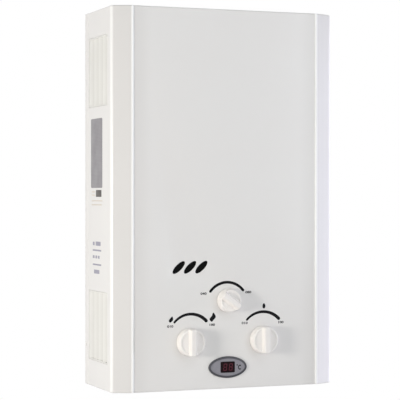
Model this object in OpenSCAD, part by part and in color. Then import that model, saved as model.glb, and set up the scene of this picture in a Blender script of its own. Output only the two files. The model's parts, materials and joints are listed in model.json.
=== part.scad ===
// Wall-hung gas water heater with its casing, controls, valves, burner and heat exchanger
// Millimetres. Z is up, the front looks along -Y, the wall is the plane y = 0

/* [Casing] */
// Overall width of the casing
case_w = 345; // [335:1:370]
// Overall height of the casing
case_h = 550; // [530:1:600]
// Depth from the wall to the front edges of the columns
case_d = 139; // [136:1:150]
// Thickness of the folded sheet
sheet = 1; // [0.8:0.1:1.2]
// Width of each slanted column beside the front panel
column_w = 29.5; // [24:0.5:34]
// Depth that a column falls back from its front edge to the side wall
column_d = 13; // [10:0.5:16]
// How far the front panel lies behind the column edges
panel_inset = 2; // [1.8:0.1:3]
// Outside bend radius where a column meets the side wall
bend_r = 6; // [3:0.5:6]
// Radius of the rolled edge beside the front panel
ridge_r = 3; // [1.6:0.1:3]
// Width of the folded return round the top and bottom openings
return_w = 12; // [8:1:15]
// Gap from the wall to the rear edge of the cover
cover_gap = 5; // [3:0.5:6]
// Depth of the folded sides of the back plate
tray_d = 16; // [14:0.5:18]
// Height of the bottom plate above the lower edge of the casing
bottom_rise = 12; // [11:0.5:14]
// Clearance between sheet parts that slip over each other
slip = 0.3; // [0.2:0.05:0.5]

/* [Wall fixing] */
// Diameter of the holes for the wall screws
fix_d = 8; // [6:0.5:9]
// Distance between the two columns of wall holes
fix_span_x = 270; // [250:1:280]
// Height of the lower wall holes
fix_low_z = 125; // [120:1:140]
// Height of the upper wall holes
fix_high_z = 500; // [480:1:505]

/* [Side grilles] */
// Height of a grille window
grille_h = 102; // [90:1:110]
// Width of a grille window
grille_w = 89; // [80:1:92]
// Distance from the wall to the rear edge of a grille window
grille_rear = 22; // [21.5:0.5:26]
// Distance from the top or bottom edge to the nearest grille window
grille_margin = 39; // [34:1:45]
// Number of blades in a grille
blade_count = 4; // [3:1:6]
// Thickness of a grille blade
blade_t = 1.4; // [1.2:0.1:1.8]
// Depth of a grille frame behind the outer face of the wall
grille_d = 6.5; // [5.5:0.5:8]
// Thickness of a grille frame
grille_t = 2; // [1.6:0.1:2.5]
// Width of the lip that holds a grille behind the wall
grille_lip = 3; // [2:0.5:3]

/* [Knobs] */
// Radius of the gas and water knobs
knob_r = 20.3; // [18:0.1:22]
// Radius of the season knob
season_r = 17; // [16:0.1:19]
// Distance between the gas and water knobs
knob_pitch = 114; // [110:1:118]
// Height of the gas and water knobs
knob_z = 69.5; // [68:0.5:71]
// Height of the season knob
season_z = 128; // [126:0.5:132]
// Place of the season knob, right of the middle
season_x = 2.2; // [0:0.1:3]
// Height of a knob's skirt
skirt_h = 12.5; // [11:0.5:15]
// Width of the grip bar at its foot
grip_w = 12; // [10:0.5:13]
// Width of the grip bar at its top
grip_top = 7; // [5:0.5:9]
// Height of the grip bar above the skirt
grip_h = 5.5; // [4:0.5:7]
// Depth of the dish in a knob's face
dish = 0.8; // [0.5:0.1:1.2]
// Width of the rim round the dish
rim = 3; // [2.5:0.1:3.5]
// Wall thickness of a knob
knob_wall = 2.4; // [2:0.1:3]
// Gap between a knob and the panel
knob_gap = 1; // [0.8:0.1:1.5]
// Radius of a spindle
spindle_r = 4; // [3.5:0.1:4.5]
// Radius of the panel holes for the spindles
spindle_hole_r = 7; // [6:0.5:8]
// Running clearance of a spindle or rod in its bore
run_fit = 0.1; // [0.06:0.01:0.1]
// Turn of the season knob at rest, to the left of upright
season_rest = 54; // [45:1:60]

/* [Display] */
// Width of the oval display bezel
bezel_w = 59.6; // [56:0.2:64]
// Height of the oval display bezel
bezel_h = 31.5; // [29:0.1:33]
// Height of the display's centre
display_z = 31.3; // [29.5:0.1:32]
// Place of the display's centre, right of the middle
display_x = 1.7; // [0:0.1:2]
// Width of the raised rim of the bezel
bezel_rim = 3.2; // [2.5:0.1:4]
// Height of the bezel rim in front of the panel
bezel_out = 2.2; // [1.8:0.1:4]
// Drop from the bezel rim to the bezel face
bezel_drop = 1; // [0.8:0.1:1.5]
// Depth of the bezel's body behind the panel
bezel_in = 6; // [5:0.5:8]
// Width of the display window
lens_w = 22.6; // [19:0.1:23]
// Height of the display window
lens_h = 16.2; // [14:0.1:16.4]
// Thickness of the display window
lens_t = 1.5; // [1.2:0.1:2]
// Thickness of the display board
board_t = 1.6; // [1.2:0.1:2]

/* [Sight holes] */
// Length of a sight hole
sight_long = 24.4; // [20:0.1:26]
// Width of a sight hole
sight_wide = 9.2; // [7:0.1:10]
// Lean of a sight hole from level
sight_tilt = 43; // [40:1:60]
// Distance between neighbouring sight holes
sight_pitch = 17.4; // [16:0.1:19]
// Place of the middle sight hole to the left of centre
sight_left = 56; // [54:0.1:60]
// Height of the sight holes
sight_z = 176.8; // [174:0.1:180]
// Thickness of the sight glass
glass_t = 2; // [1.5:0.1:3]

/* [Fittings] */
// Outside radius of the half-inch pipe thread
thread_r = 10.48; // [9.5:0.01:11]
// Length of the thread below the fitting's hexagon
thread_l = 16; // [14:0.5:18]
// Height of the fitting's hexagon
hex_h = 5; // [4:0.5:6]
// Distance across the flats of the fitting's hexagon
hex_af = 27; // [25:0.5:30]
// Radius of the waterway or gasway in a fitting
way_r = 6.5; // [5.5:0.1:7]
// Radius of the neck that passes the bottom plate
neck_r = 11; // [10.8:0.1:11.5]
// Height of the top of a fitting above the bottom plate
fitting_top = 17; // [16:0.5:18]
// Distance from the wall to the row of fittings
inlet_d = 40; // [38:0.5:42]
// Thickness of a grommet between a neck and the plate
grommet_t = 3; // [2.5:0.1:3.5]
// Radius of the drain plug's cap
drain_r = 11; // [9:0.5:12]
// Radius of the drain plug's stem
drain_stem_r = 5; // [4.5:0.1:5.5]
// Distance from the wall to the drain plug
drain_d = 80; // [76:0.5:84]

/* [Valves] */
// Gap from the inside of the panel to the front of a valve
valve_setback = 12; // [11:0.5:14]
// Radius of the gas valve's barrel
gas_valve_r = 20; // [18:0.5:21]
// Radius of the water valve's barrel
water_valve_r = 17; // [15.5:0.5:18]
// Radius of a spindle bush on a valve
bush_r = 10; // [8:0.5:11]
// Length of a spindle bush
bush_l = 6; // [5:0.5:7]
// Radius of the diaphragm housing
disc_r = 28; // [25:0.5:29]
// Thickness of each half of the diaphragm housing
disc_t = 10; // [8:0.5:11]
// Thickness of the rubber diaphragm
rubber_t = 1.5; // [1:0.1:2]
// Distance from the wall to the link rod
rod_d = 60; // [58:0.5:62]
// Radius of the link rod
rod_r = 3; // [2.5:0.1:3.2]
// Radius of the link rod's collar
collar_r = 8; // [7.5:0.1:8.5]
// Travel of the link rod
rod_travel = 4; // [3:0.1:4]
// Height of the switch lever's pivot above the rod
lever_rise = 22; // [21:0.5:24]

/* [Burner] */
// Number of burner bars
bar_count = 9; // [7:1:9]
// Distance between neighbouring burner bars
bar_pitch = 18; // [16.5:0.1:18]
// Height of the burner bars above the season valve
bar_rise = 57; // [54:1:62]
// Gap from the burner bars to the chamber
flame_gap = 5; // [4.5:0.5:7]
// Depth and height of the gas manifold's section
manifold_t = 16; // [14:0.5:17]
// Length of a gas jet
jet_l = 6; // [5:0.5:6.5]
// Radius of the gas riser
riser_r = 8; // [7:0.1:9]

/* [Heat exchanger] */
// Distance from the wall to the rear of the chamber
chamber_rear = 18; // [17:0.5:20]
// Width of the combustion chamber
chamber_w = 176; // [174:1:184]
// Depth of the combustion chamber
chamber_d = 76; // [74:1:78]
// Height of the combustion chamber
chamber_h = 130; // [120:1:140]
// Width of the fin casing
fin_w = 160; // [150:1:160]
// Height of the fin casing
fin_h = 57; // [50:1:60]
// Distance between neighbouring fins
fin_pitch = 5; // [4.5:0.1:6]
// Thickness of a fin
fin_t = 0.8; // [0.5:0.1:1]
// Outside radius of the water pipes
pipe_r = 6.5; // [6:0.1:6.5]
// Wall thickness of the water pipes
pipe_t = 1; // [0.8:0.1:1.2]
// Bend radius of the water pipes
pipe_bend = 14; // [13.5:0.1:14]
// Distance between neighbouring exchanger tubes
tube_pitch = 30; // [28.5:0.1:30]
// Rise from one turn of the coil to the next
coil_rise = 36; // [30:1:40]
// Width of the flue outlet
flue_w = 140; // [130:1:145]
// Depth of the flue outlet
flue_d = 52; // [46:1:56]
// Number of exhaust slots
slot_count = 9; // [7:1:9]
// Width of an exhaust slot
slot_w = 7; // [5:0.5:8]

/* [Battery box] */
// Radius of one battery
cell_r = 17; // [16.5:0.1:17]
// Length of one battery
cell_l = 61.5; // [58:0.5:62]
// Wall thickness of the battery box
box_t = 2; // [1.6:0.1:2.2]
// Thickness of the battery door
door_t = 2.5; // [2:0.1:2.6]
// Radius of the door's hinge pin
pin_r = 1.5; // [1.2:0.1:1.6]

/* [Hidden] */
$fn = 64;
cut = 1;
touch = 0.2;
bend_steps = 6;
oval_steps = 72;
step_r = 1;

half_w = case_w / 2;
side_in = half_w - sheet;
tray_out = side_in - slip;
panel_out = case_d - panel_inset;
panel_in = panel_out - sheet;
top_z = case_h - 2 * sheet - slip;
floor_z = bottom_rise + sheet;

flange_h = 14;
screw_r = 1.6;
screw_head_r = 3.2;
screw_head_h = 1.6;
screw_fit = 0.1;
plate_screw_x = 0.36 * case_w;
cover_screw_d = (cover_gap + tray_d) / 2;
cover_screw_z = 60;
flange_end = 12;

blade_inset = 1;
grille_low_z = grille_margin;
grille_high_z = case_h - grille_margin - grille_h;

lens_front = panel_out + bezel_out - bezel_drop;
gas_x = -knob_pitch / 2;
water_x = knob_pitch / 2;
knob_back = panel_out + knob_gap;
valve_front = panel_in - valve_setback;
spindle_in = 14;
bore_top = skirt_h - dish - knob_wall;
hub_r = spindle_r + 3.5;
hub_z = 0.5;
edge_r = 2;
draft = 0.6;

thread_end = bottom_rise - 2 - hex_h - thread_l;
fitting_z = floor_z + fitting_top;
socket_r = 15;

barrel_front = valve_front - bush_l;
barrel_rear = inlet_d - 16;
gas_outlet_z = knob_z + gas_valve_r + 4;
gas_boss_x = gas_x + gas_valve_r + 8;
disc_screws = 6;
rubber_x = water_x - water_valve_r - 5;
cover_x = rubber_x - disc_t;
housing_x = rubber_x + rubber_t;
drain_boss_z = floor_z + 4;
drain_boss_r = drain_stem_r + 4;
boss_lead = 2;
rod_in = 10;

switch_x = -2;
switch_w = 24;
switch_h = 16;
switch_t = 12;
lever_t = 0.8;
lever_w = 4;
collar_t = 3;
collar_x = 4;
lever_x = collar_x - slip - lever_t;
pivot_z = knob_z + lever_rise;
pivot_r = 1;
switch_top = pivot_z + 6;

bar_front = chamber_rear + chamber_d - 4;
bar_rear = chamber_rear + 4;
bar_top = season_z + bar_rise;
bar_low = season_z - 13;
chamber_z = bar_top + flame_gap;
chamber_top = chamber_z + chamber_h;
fin_top = chamber_top + fin_h;
chamber_front = chamber_rear + chamber_d;
manifold_rear = bar_front + jet_l + 2;
manifold_mid = manifold_rear + manifold_t / 2;
manifold_w = bar_pitch * (bar_count - 1) + 24;
jet_base_r = 4;
jet_base_l = 2.5;
jet_r = 2.5;
jet_bore_r = 0.8;
frame_x = bar_pitch * bar_count / 2 + 2;
frame_t = 1.5;
rail_z = season_z + 32;
rail_h = 12;
rail_front = bar_front + slip + frame_t;
wire_d = rail_front + frame_t + 2;
spark_x = -bar_pitch;
sensor_x = 2 * bar_pitch;

// The coil's sides clear the chamber, the burner frame, the fin casing and the water valve
coil_gap = 0.2;
coil_reach = max(chamber_w / 2, frame_x + frame_t) + pipe_r;
bend_reach = max(fin_w / 2, water_x + water_valve_r + boss_lead) + pipe_bend;
coil_x = max(coil_reach, bend_reach) + coil_gap;
coil_front = chamber_front + pipe_r + coil_gap;
coil_z = chamber_z + 18;
coil_high = coil_z + coil_rise;
coil_rear = 30;
cold_d = 45;
tube_end = coil_x - pipe_bend;
tube_z = chamber_top + fin_h / 2;
tube_mid = chamber_rear + chamber_d / 2;
tube_d = [tube_mid - tube_pitch, tube_mid, tube_mid + tube_pitch];
hot_x = -(coil_x + 2 * pipe_r + 6);
hot_low = knob_z - 4;
cold_boss_x = coil_x - pipe_bend - boss_lead;
corner_r = pipe_bend - pipe_r + 1.5;
bracket_w = 30;
bracket_h = 30;
bracket_t = 1.5;
bracket_drop = 20;
bracket_x = 0.3 * chamber_w;
cutout_x = -40;
cutout_r = 8;
cutout_h = 6;
tab_w = 3;
tab_t = 0.8;
tab_l = 6;

flue_mid = 70;
slot_margin = 4;
slot_pitch = (flue_w - 3 * slot_margin) / slot_count;
hood_low = 22;
hood_neck = 30;

box_gap = 0.5;
door_gap = 1;
door_lip = 3;
box_w = 4 * cell_r + 3 * box_gap;
box_d = 2 * cell_r + 2;
box_h = cell_l + 6;
box_right = half_w - grille_d - box_gap - box_t;
box_left = box_right - box_w;
box_mid = (box_left + box_right) / 2;
box_front = case_d - column_d - 2 * box_gap - door_lip - box_t;
box_rear = box_front - box_d;
door_z = bottom_rise - slip;
hinge_d = box_rear - 5;
hinge_z = bottom_rise - 4;
barrel_r = pin_r + 1.3;
rib_t = 0.8;
rib_count = 4;
ear_t = 1.5;
ear_h = 7;
ear_w = 8;
contact_w = 16;
contact_t = 0.6;

igniter_w = 36;
igniter_h = 70;
igniter_t = 32;
igniter_x = -(half_w - grille_d - 3);
igniter_z = floor_z + flange_h + 2;
terminal_d = sheet + igniter_t / 2 + 1;
terminal_z = igniter_z + igniter_h + 8;
lead_r = 1.2;
lead_bend = 3;
lead_d = manifold_rear + 4;
lead_z = season_z + manifold_t / 2 + 6;

enamel = [0.93, 0.92, 0.9];
zinc = [0.72, 0.74, 0.76];
plastic = [0.94, 0.92, 0.88];
dark = [0.2, 0.2, 0.22];
alloy = [0.66, 0.67, 0.68];
brass = [0.8, 0.66, 0.36];
copper = [0.78, 0.45, 0.28];
steel = [0.6, 0.62, 0.64];
ceramic = [0.95, 0.94, 0.9];

// Direction of a vector
function unit(v) = v / norm(v);

// A flat vector turned a quarter to the left
function turn_left(v) = [-v.y, v.x];

// Corner b of an outline moved inwards by d
function mitre(a, b, c, d) =
    let (n1 = turn_left(unit(b - a)), n2 = turn_left(unit(c - b)))
    b + d * (n1 + n2) / (1 + n1 * n2);

// Points that round corner b between a and c
function round_corner(a, b, c, r) =
    let (u = unit(a - b), v = unit(c - b), half = acos(u * v) / 2)
    let (mid = b + unit(u + v) * r / sin(half), reach = r / tan(half))
    let (s = b + u * reach - mid, e = b + v * reach - mid)
    r < 0.05 ? [b] : [for (i = [0 : bend_steps]) mid + r * unit(s * (bend_steps - i) + e * i)];

// Sharp corners of the casing's plan, from the rear left to the rear right
function casing_corners(rear) = [
    [-half_w, -rear],
    [-half_w, -(case_d - column_d)],
    [-half_w + column_w, -case_d],
    [-half_w + column_w + panel_inset, -panel_out],
    [half_w - column_w - panel_inset, -panel_out],
    [half_w - column_w, -case_d],
    [half_w, -(case_d - column_d)],
    [half_w, -rear]
];

// Bend radius at each of those corners, negative where the bend is hollow
casing_bends = [0, bend_r, ridge_r, -step_r, -step_r, ridge_r, bend_r, 0];

// The casing's plan moved inwards by one inset, open to one distance from the wall
function casing_outline(inset, rear) =
    let (c = casing_corners(rear), n = len(c) - 1)
    let (m = [for (i = [0 : n])
        i == 0 ? c[0] + [inset, 0] : i == n ? c[n] - [inset, 0] : mitre(c[i - 1], c[i], c[i + 1], inset)])
    [for (i = [0 : n])
        let (b = casing_bends[i], r = b < 0 ? inset - b : max(b - inset, 0))
        each (i == 0 || i == n) ? [m[i]] : round_corner(m[i - 1], m[i], m[i + 1], r)];

// Plan of the opening inside the folded returns
function return_outline() =
    let (c = casing_corners(-cut))
    let (l = [[c[0], c[1], c[3]], [c[1], c[3], c[4]], [c[3], c[4], c[6]], [c[4], c[6], c[7]]])
    concat([c[0] + [return_w, 0]], [for (t = l) mitre(t[0], t[1], t[2], return_w)], [c[7] - [return_w, 0]]);

// Points of an oval
function oval(w, h) = [for (i = [0 : oval_steps - 1])
    let (a = 360 * i / oval_steps) [w / 2 * cos(a), h / 2 * sin(a)]];

// Box between two opposite corners
module block(low, high) {
    translate(low)
        cube(high - low);
}

// Round bar between two points
module bar(p, q, r) {
    d = q - p;
    translate(p)
        rotate([0, acos(d.z / norm(d)), atan2(d.y, d.x)])
            cylinder(h = norm(d), r = r);
}

// Flat shape seen from the front, standing between two distances from the wall
module facing(near, far) {
    translate([0, -near, 0])
        rotate([90, 0, 0])
            linear_extrude(far - near)
                children();
}

// Section of a pipe
module ring(r, t) {
    difference() {
        circle(r = r);
        if (t < r)
            circle(r = r - t);
    }
}

// Slot with round ends, long from front to rear
module slot(w, l) {
    square([w, l - w], center = true);
    for (s = [-1, 1])
        translate([0, s * (l - w) / 2])
            circle(d = w);
}

// Rectangle with round corners
module rounded(w, d, r) {
    square([w - 2 * r, d], center = true);
    square([w, d - 2 * r], center = true);
    for (x = [-1, 1], y = [-1, 1])
        translate([x * (w / 2 - r), y * (d / 2 - r)])
            circle(r = r);
}

// Straight length of pipe
module pipe_length(p, q, r, t) {
    d = q - p;
    translate(p)
        rotate([0, acos(d.z / norm(d)), atan2(d.y, d.x)])
            linear_extrude(norm(d))
                ring(r, t);
}

// Quarter bend of pipe at a corner, from direction a to direction b
module pipe_elbow(corner, a, b, r, t, bend) {
    x = -b;
    z = cross(x, a);
    o = corner + bend * (b - a);
    multmatrix([[x.x, a.x, z.x, o.x], [x.y, a.y, z.y, o.y], [x.z, a.z, z.z, o.z], [0, 0, 0, 1]])
        rotate_extrude(angle = 90)
            translate([bend, 0])
                ring(r, t);
}

// Pipe through a list of square corners
module pipe_run(points, r, t, bend) {
    n = len(points) - 1;
    for (i = [0 : n - 1]) {
        d = unit(points[i + 1] - points[i]);
        p = points[i] + (i == 0 ? 0 : bend) * d;
        q = points[i + 1] - (i == n - 1 ? 0 : bend) * d;
        if ((q - p) * d > 0.01)
            pipe_length(p, q, r, t);
    }
    for (i = [1 : n - 1]) {
        a = unit(points[i] - points[i - 1]);
        b = unit(points[i + 1] - points[i]);
        pipe_elbow(points[i], a, b, r, t, bend);
    }
}

// Pan-head screw at a point, head first, along a direction
module screw(p, along, length) {
    bar(p - along * screw_head_h, p, screw_head_r);
    bar(p, p + along * length, screw_r - screw_fit);
}

// Places of the three knobs, as x and z
controls = [[gas_x, knob_z], [water_x, knob_z], [season_x, season_z]];

// Places of the wall holes, as x and z
wall_holes = [for (s = [-1, 1], z = [fix_low_z, fix_high_z]) [s * fix_span_x / 2, z]];

// Places of the pipe fittings, as x
fittings = [gas_x, water_x, hot_x];

// Casing

module back_plate() {
    color(zinc)
        difference() {
            union() {
                block([-tray_out, -sheet, 0], [tray_out, 0, case_h]);
                for (s = [-1, 1])
                    block([min(s * tray_out, s * (tray_out - sheet)), -tray_d, floor_z + slip],
                        [max(s * tray_out, s * (tray_out - sheet)), 0, top_z - slip]);
            }
            for (p = wall_holes)
                bar([p.x, -sheet - cut, p.y], [p.x, cut, p.y], fix_d / 2);
            for (s = [-1, 1]) {
                for (z = [floor_z + flange_h / 2, top_z - flange_h / 2])
                    bar([s * plate_screw_x, -sheet - cut, z], [s * plate_screw_x, cut, z], screw_r);
                for (z = [cover_screw_z, case_h - cover_screw_z])
                    bar([s * (tray_out - sheet - cut), -cover_screw_d, z],
                        [s * (tray_out + cut), -cover_screw_d, z], screw_r);
            }
        }
}

module sight_hole(i) {
    translate([-sight_left + i * sight_pitch, sight_z])
        rotate(sight_tilt)
            polygon(oval(sight_long, sight_wide));
}

module front_cover() {
    color(enamel)
        difference() {
            linear_extrude(case_h)
                polygon(casing_outline(0, cover_gap));
            translate([0, 0, sheet])
                linear_extrude(case_h - 2 * sheet)
                    polygon(casing_outline(sheet, -cut));
            translate([0, 0, -cut])
                linear_extrude(case_h + 2 * cut)
                    polygon(return_outline());
            // Notch in the lower return, through which the battery door swings
            block([box_left - door_gap, -box_front - door_lip - door_gap, -cut],
                [box_right + door_gap, -hinge_d, 2 * sheet]);
            for (s = [-1, 1]) {
                for (z = [grille_low_z, grille_high_z])
                    block([s * half_w - 2 * sheet, -grille_rear - grille_w, z],
                        [s * half_w + 2 * sheet, -grille_rear, z + grille_h]);
                for (z = [cover_screw_z, case_h - cover_screw_z])
                    bar([s * (side_in - cut), -cover_screw_d, z],
                        [s * (half_w + cut), -cover_screw_d, z], screw_r);
            }
            for (p = controls)
                bar([p.x, -panel_out - cut, p.y], [p.x, -panel_in + cut, p.y], spindle_hole_r);
            translate([display_x, 0, display_z])
                facing(panel_in - cut, panel_out + cut)
                    polygon(oval(bezel_w - 2 * bezel_rim + slip, bezel_h - 2 * bezel_rim + slip));
            facing(panel_in - cut, panel_out + cut)
                for (i = [-1 : 1])
                    sight_hole(i);
        }
}

module top_plate() {
    color(zinc)
        difference() {
            union() {
                translate([0, 0, top_z])
                    linear_extrude(sheet)
                        polygon(casing_outline(sheet + slip, sheet));
                block([-plate_screw_x - flange_end, -2 * sheet, top_z - flange_h],
                    [plate_screw_x + flange_end, -sheet, top_z + sheet]);
            }
            for (i = [0 : slot_count - 1])
                translate([(i - (slot_count - 1) / 2) * slot_pitch, -flue_mid, top_z - cut])
                    linear_extrude(sheet + 2 * cut)
                        slot(slot_w, flue_d - 2 * slot_margin);
            for (s = [-1, 1])
                bar([s * plate_screw_x, -2 * sheet - cut, top_z - flange_h / 2],
                    [s * plate_screw_x, -sheet + cut, top_z - flange_h / 2], screw_r);
        }
}

module bottom_plate() {
    color(zinc)
        difference() {
            union() {
                translate([0, 0, bottom_rise])
                    linear_extrude(sheet)
                        polygon(casing_outline(sheet + slip, sheet));
                block([-plate_screw_x - flange_end, -2 * sheet, bottom_rise],
                    [plate_screw_x + flange_end, -sheet, floor_z + flange_h]);
                for (x = [box_left - ear_t, box_right])
                    block([x, -hinge_d - ear_w / 2, bottom_rise - ear_h],
                        [x + ear_t, -hinge_d + ear_w / 2, bottom_rise + sheet / 2]);
            }
            for (x = fittings)
                bar([x, -inlet_d, bottom_rise - cut], [x, -inlet_d, floor_z + cut], neck_r + grommet_t);
            bar([water_x, -drain_d, bottom_rise - cut], [water_x, -drain_d, floor_z + cut], drain_boss_r);
            block([box_left, -box_front, bottom_rise - cut], [box_right, -box_rear, floor_z + cut]);
            bar([box_left - 2 * ear_t, -hinge_d, hinge_z],
                [box_right + 2 * ear_t, -hinge_d, hinge_z], pin_r);
            for (s = [-1, 1])
                bar([s * plate_screw_x, -2 * sheet - cut, floor_z + flange_h / 2],
                    [s * plate_screw_x, -sheet + cut, floor_z + flange_h / 2], screw_r);
        }
}

module cover_screws() {
    color(enamel)
        for (s = [-1, 1], z = [cover_screw_z, case_h - cover_screw_z])
            screw([s * half_w, -cover_screw_d, z], [-s, 0, 0], 2 * sheet + slip + 2);
}

module plate_screws() {
    color(steel)
        for (s = [-1, 1], z = [floor_z + flange_h / 2, top_z - flange_h / 2])
            screw([s * plate_screw_x, -2 * sheet, z], [0, 1, 0], 2 * sheet - touch);
}

// Blades rise outwards to the rear, so their openings look away from the front
module grille(side, low_z) {
    in_w = grille_w - 2 * (slip + grille_t);
    pitch = in_w / blade_count;
    deep = grille_d - blade_t;
    color(plastic)
        translate([side * half_w, -grille_rear, low_z])
            mirror([side > 0 ? 0 : 1, 0, 0]) {
                difference() {
                    union() {
                        block([-grille_d, slip - grille_w, slip], [-touch, -slip, grille_h - slip]);
                        block([-grille_d, -grille_w - grille_lip, -grille_lip],
                            [-sheet, grille_lip, grille_h + grille_lip]);
                    }
                    block([-grille_d - cut, slip + grille_t - grille_w, slip + grille_t],
                        [cut, -slip - grille_t, grille_h - slip - grille_t]);
                    difference() {
                        block([-grille_d - cut, -grille_w - grille_lip - cut, -grille_lip - cut],
                            [-sheet - grille_t, grille_lip + cut, grille_h + grille_lip + cut]);
                        block([-grille_d - 2 * cut, slip - grille_w, slip], [0, -slip, grille_h - slip]);
                    }
                }
                for (i = [0 : blade_count - 1]) {
                    y = slip + grille_t - grille_w + i * pitch;
                    translate([0, 0, slip + grille_t])
                        linear_extrude(grille_h - 2 * (slip + grille_t))
                            polygon([
                                [-deep - blade_t, y], [-deep, y],
                                [-blade_inset, y + 0.9 * pitch], [-blade_inset - blade_t, y + 0.9 * pitch]
                            ]);
                }
            }
}

module grille_left_low() {
    grille(-1, grille_low_z);
}

module grille_left_high() {
    grille(-1, grille_high_z);
}

module grille_right_low() {
    grille(1, grille_low_z);
}

module grille_right_high() {
    grille(1, grille_high_z);
}

module sight_glass() {
    reach = sight_pitch + sight_long / 2 + 3;
    color(dark)
        block([-sight_left - reach, -panel_in, sight_z - sight_long / 2 - 2],
            [-sight_left + reach, -panel_in + glass_t, sight_z + sight_long / 2 + 2]);
}

// Display

module display_bezel() {
    color(dark)
        translate([display_x, 0, display_z])
            difference() {
                union() {
                    facing(panel_out, panel_out + bezel_out)
                        polygon(oval(bezel_w, bezel_h));
                    facing(panel_in - bezel_in, panel_out + touch)
                        polygon(oval(bezel_w - 2 * bezel_rim - slip, bezel_h - 2 * bezel_rim - slip));
                }
                facing(panel_out + bezel_out - bezel_drop, panel_out + bezel_out + cut)
                    polygon(oval(bezel_w - 2 * bezel_rim, bezel_h - 2 * bezel_rim));
                block([-lens_w / 2, -panel_out - bezel_out - cut, -lens_h / 2],
                    [lens_w / 2, -panel_in + bezel_in + cut, lens_h / 2]);
            }
}

module display_window() {
    color([0.08, 0.03, 0.04])
        translate([display_x, 0, display_z])
            block([touch - lens_w / 2, -lens_front, touch - lens_h / 2],
                [lens_w / 2 - touch, -lens_front + lens_t, lens_h / 2 - touch]);
}

module digit_module() {
    color([0.1, 0.1, 0.1])
        translate([display_x, 0, display_z])
            block([1 - lens_w / 2, -lens_front + lens_t, 1 - lens_h / 2],
                [lens_w / 2 - 1, -panel_in + bezel_in, lens_h / 2 - 1]);
}

module display_board() {
    color([0.1, 0.35, 0.2])
        translate([display_x, 0, display_z])
            block([-bezel_w / 2 + 4, -panel_in + bezel_in, -bezel_h / 2 + 3],
                [bezel_w / 2 - 4, -panel_in + bezel_in + board_t, bezel_h / 2 - 3]);
}

// Knobs and spindles

// Half section of a knob's hollow skirt
function knob_section(r) = concat(
    [[0, hub_z], [hub_r, hub_z], [hub_r, bore_top]],
    [[r - knob_wall - draft, bore_top], [r - knob_wall, 0], [r, 0]],
    [for (i = [0 : bend_steps])
        let (a = 90 * i / bend_steps)
        [r - draft - edge_r + edge_r * cos(a), skirt_h - edge_r + edge_r * sin(a)]],
    [[r - rim, skirt_h], [r - rim - dish, skirt_h - dish], [0, skirt_h - dish]]
);

module knob(r) {
    difference() {
        union() {
            rotate_extrude()
                polygon(knob_section(r));
            intersection() {
                rotate([90, 0, 0])
                    linear_extrude(2 * r, center = true)
                        polygon([
                            [-grip_w / 2, skirt_h - dish - 0.5], [grip_w / 2, skirt_h - dish - 0.5],
                            [grip_top / 2, skirt_h + grip_h], [-grip_top / 2, skirt_h + grip_h]
                        ]);
                translate([0, 0, skirt_h - 3])
                    cylinder(h = grip_h + 3, r1 = r, r2 = r - 1.5);
            }
        }
        difference() {
            cylinder(h = bore_top + knob_wall / 2, r = spindle_r + run_fit / 2);
            block([-spindle_r - cut, spindle_r / 2 + run_fit / 2, hub_z - cut],
                [spindle_r + cut, spindle_r + cut, bore_top + knob_wall]);
        }
    }
}

module spindle() {
    difference() {
        translate([0, 0, -knob_gap - sheet - valve_setback - spindle_in])
            cylinder(h = knob_gap + sheet + valve_setback + spindle_in + bore_top, r = spindle_r);
        block([-spindle_r - cut, spindle_r / 2, -knob_gap - sheet],
            [spindle_r + cut, spindle_r + cut, bore_top + cut]);
    }
}

// Puts a knob's parts on the panel, turned from upright
module at_control(i, turn) {
    translate([controls[i].x, -knob_back, controls[i].y])
        rotate([90, 0, 0])
            rotate(turn)
                children();
}

module gas_knob() {
    color(plastic)
        at_control(0, 0)
            knob(knob_r);
}

module water_knob() {
    color(plastic)
        at_control(1, 0)
            knob(knob_r);
}

module season_knob() {
    color(plastic)
        at_control(2, season_rest)
            knob(season_r);
}

module gas_spindle() {
    color(brass)
        at_control(0, 0)
            spindle();
}

module water_spindle() {
    color(brass)
        at_control(1, 0)
            spindle();
}

module season_spindle() {
    color(brass)
        at_control(2, season_rest)
            spindle();
}

// Bore for a spindle, seen from the panel
module spindle_bore(x, z) {
    bar([x, -valve_front - cut, z], [x, -valve_front + spindle_in + slip, z], spindle_r + run_fit);
}

// Valves

module gas_valve() {
    color(alloy)
        difference() {
            union() {
                bar([gas_x, -barrel_front, knob_z], [gas_x, -barrel_rear, knob_z], gas_valve_r);
                bar([gas_x, -valve_front, knob_z], [gas_x, -barrel_front + cut, knob_z], bush_r);
                bar([gas_x, -inlet_d, fitting_z], [gas_x, -inlet_d, knob_z], socket_r);
                bar([gas_x, -manifold_mid, knob_z], [gas_x, -manifold_mid, gas_outlet_z], riser_r + 2);
                bar([gas_x, -rod_d, knob_z], [gas_boss_x, -rod_d, knob_z], rod_r + 7);
            }
            spindle_bore(gas_x, knob_z);
            bar([gas_boss_x - rod_in - rod_travel - 2, -rod_d, knob_z],
                [gas_boss_x + cut, -rod_d, knob_z], rod_r + run_fit);
        }
}

module water_valve() {
    color(brass)
        difference() {
            union() {
                bar([water_x, -barrel_front, knob_z], [water_x, -barrel_rear, knob_z], water_valve_r);
                bar([water_x, -valve_front, knob_z], [water_x, -barrel_front + cut, knob_z], bush_r);
                bar([housing_x, -rod_d, knob_z], [housing_x + disc_t, -rod_d, knob_z], disc_r);
                bar([water_x, -inlet_d, fitting_z], [water_x, -inlet_d, knob_z], socket_r);
                bar([water_x, -cold_d, knob_z], [cold_boss_x, -cold_d, knob_z], pipe_r + 2.5);
                bar([water_x, -drain_d, drain_boss_z], [water_x, -drain_d, knob_z], drain_boss_r);
            }
            spindle_bore(water_x, knob_z);
            bar([water_x, -drain_d, drain_boss_z - cut], [water_x, -drain_d, drain_boss_z + 20],
                drain_stem_r + run_fit);
            disc_holes();
        }
}

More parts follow.
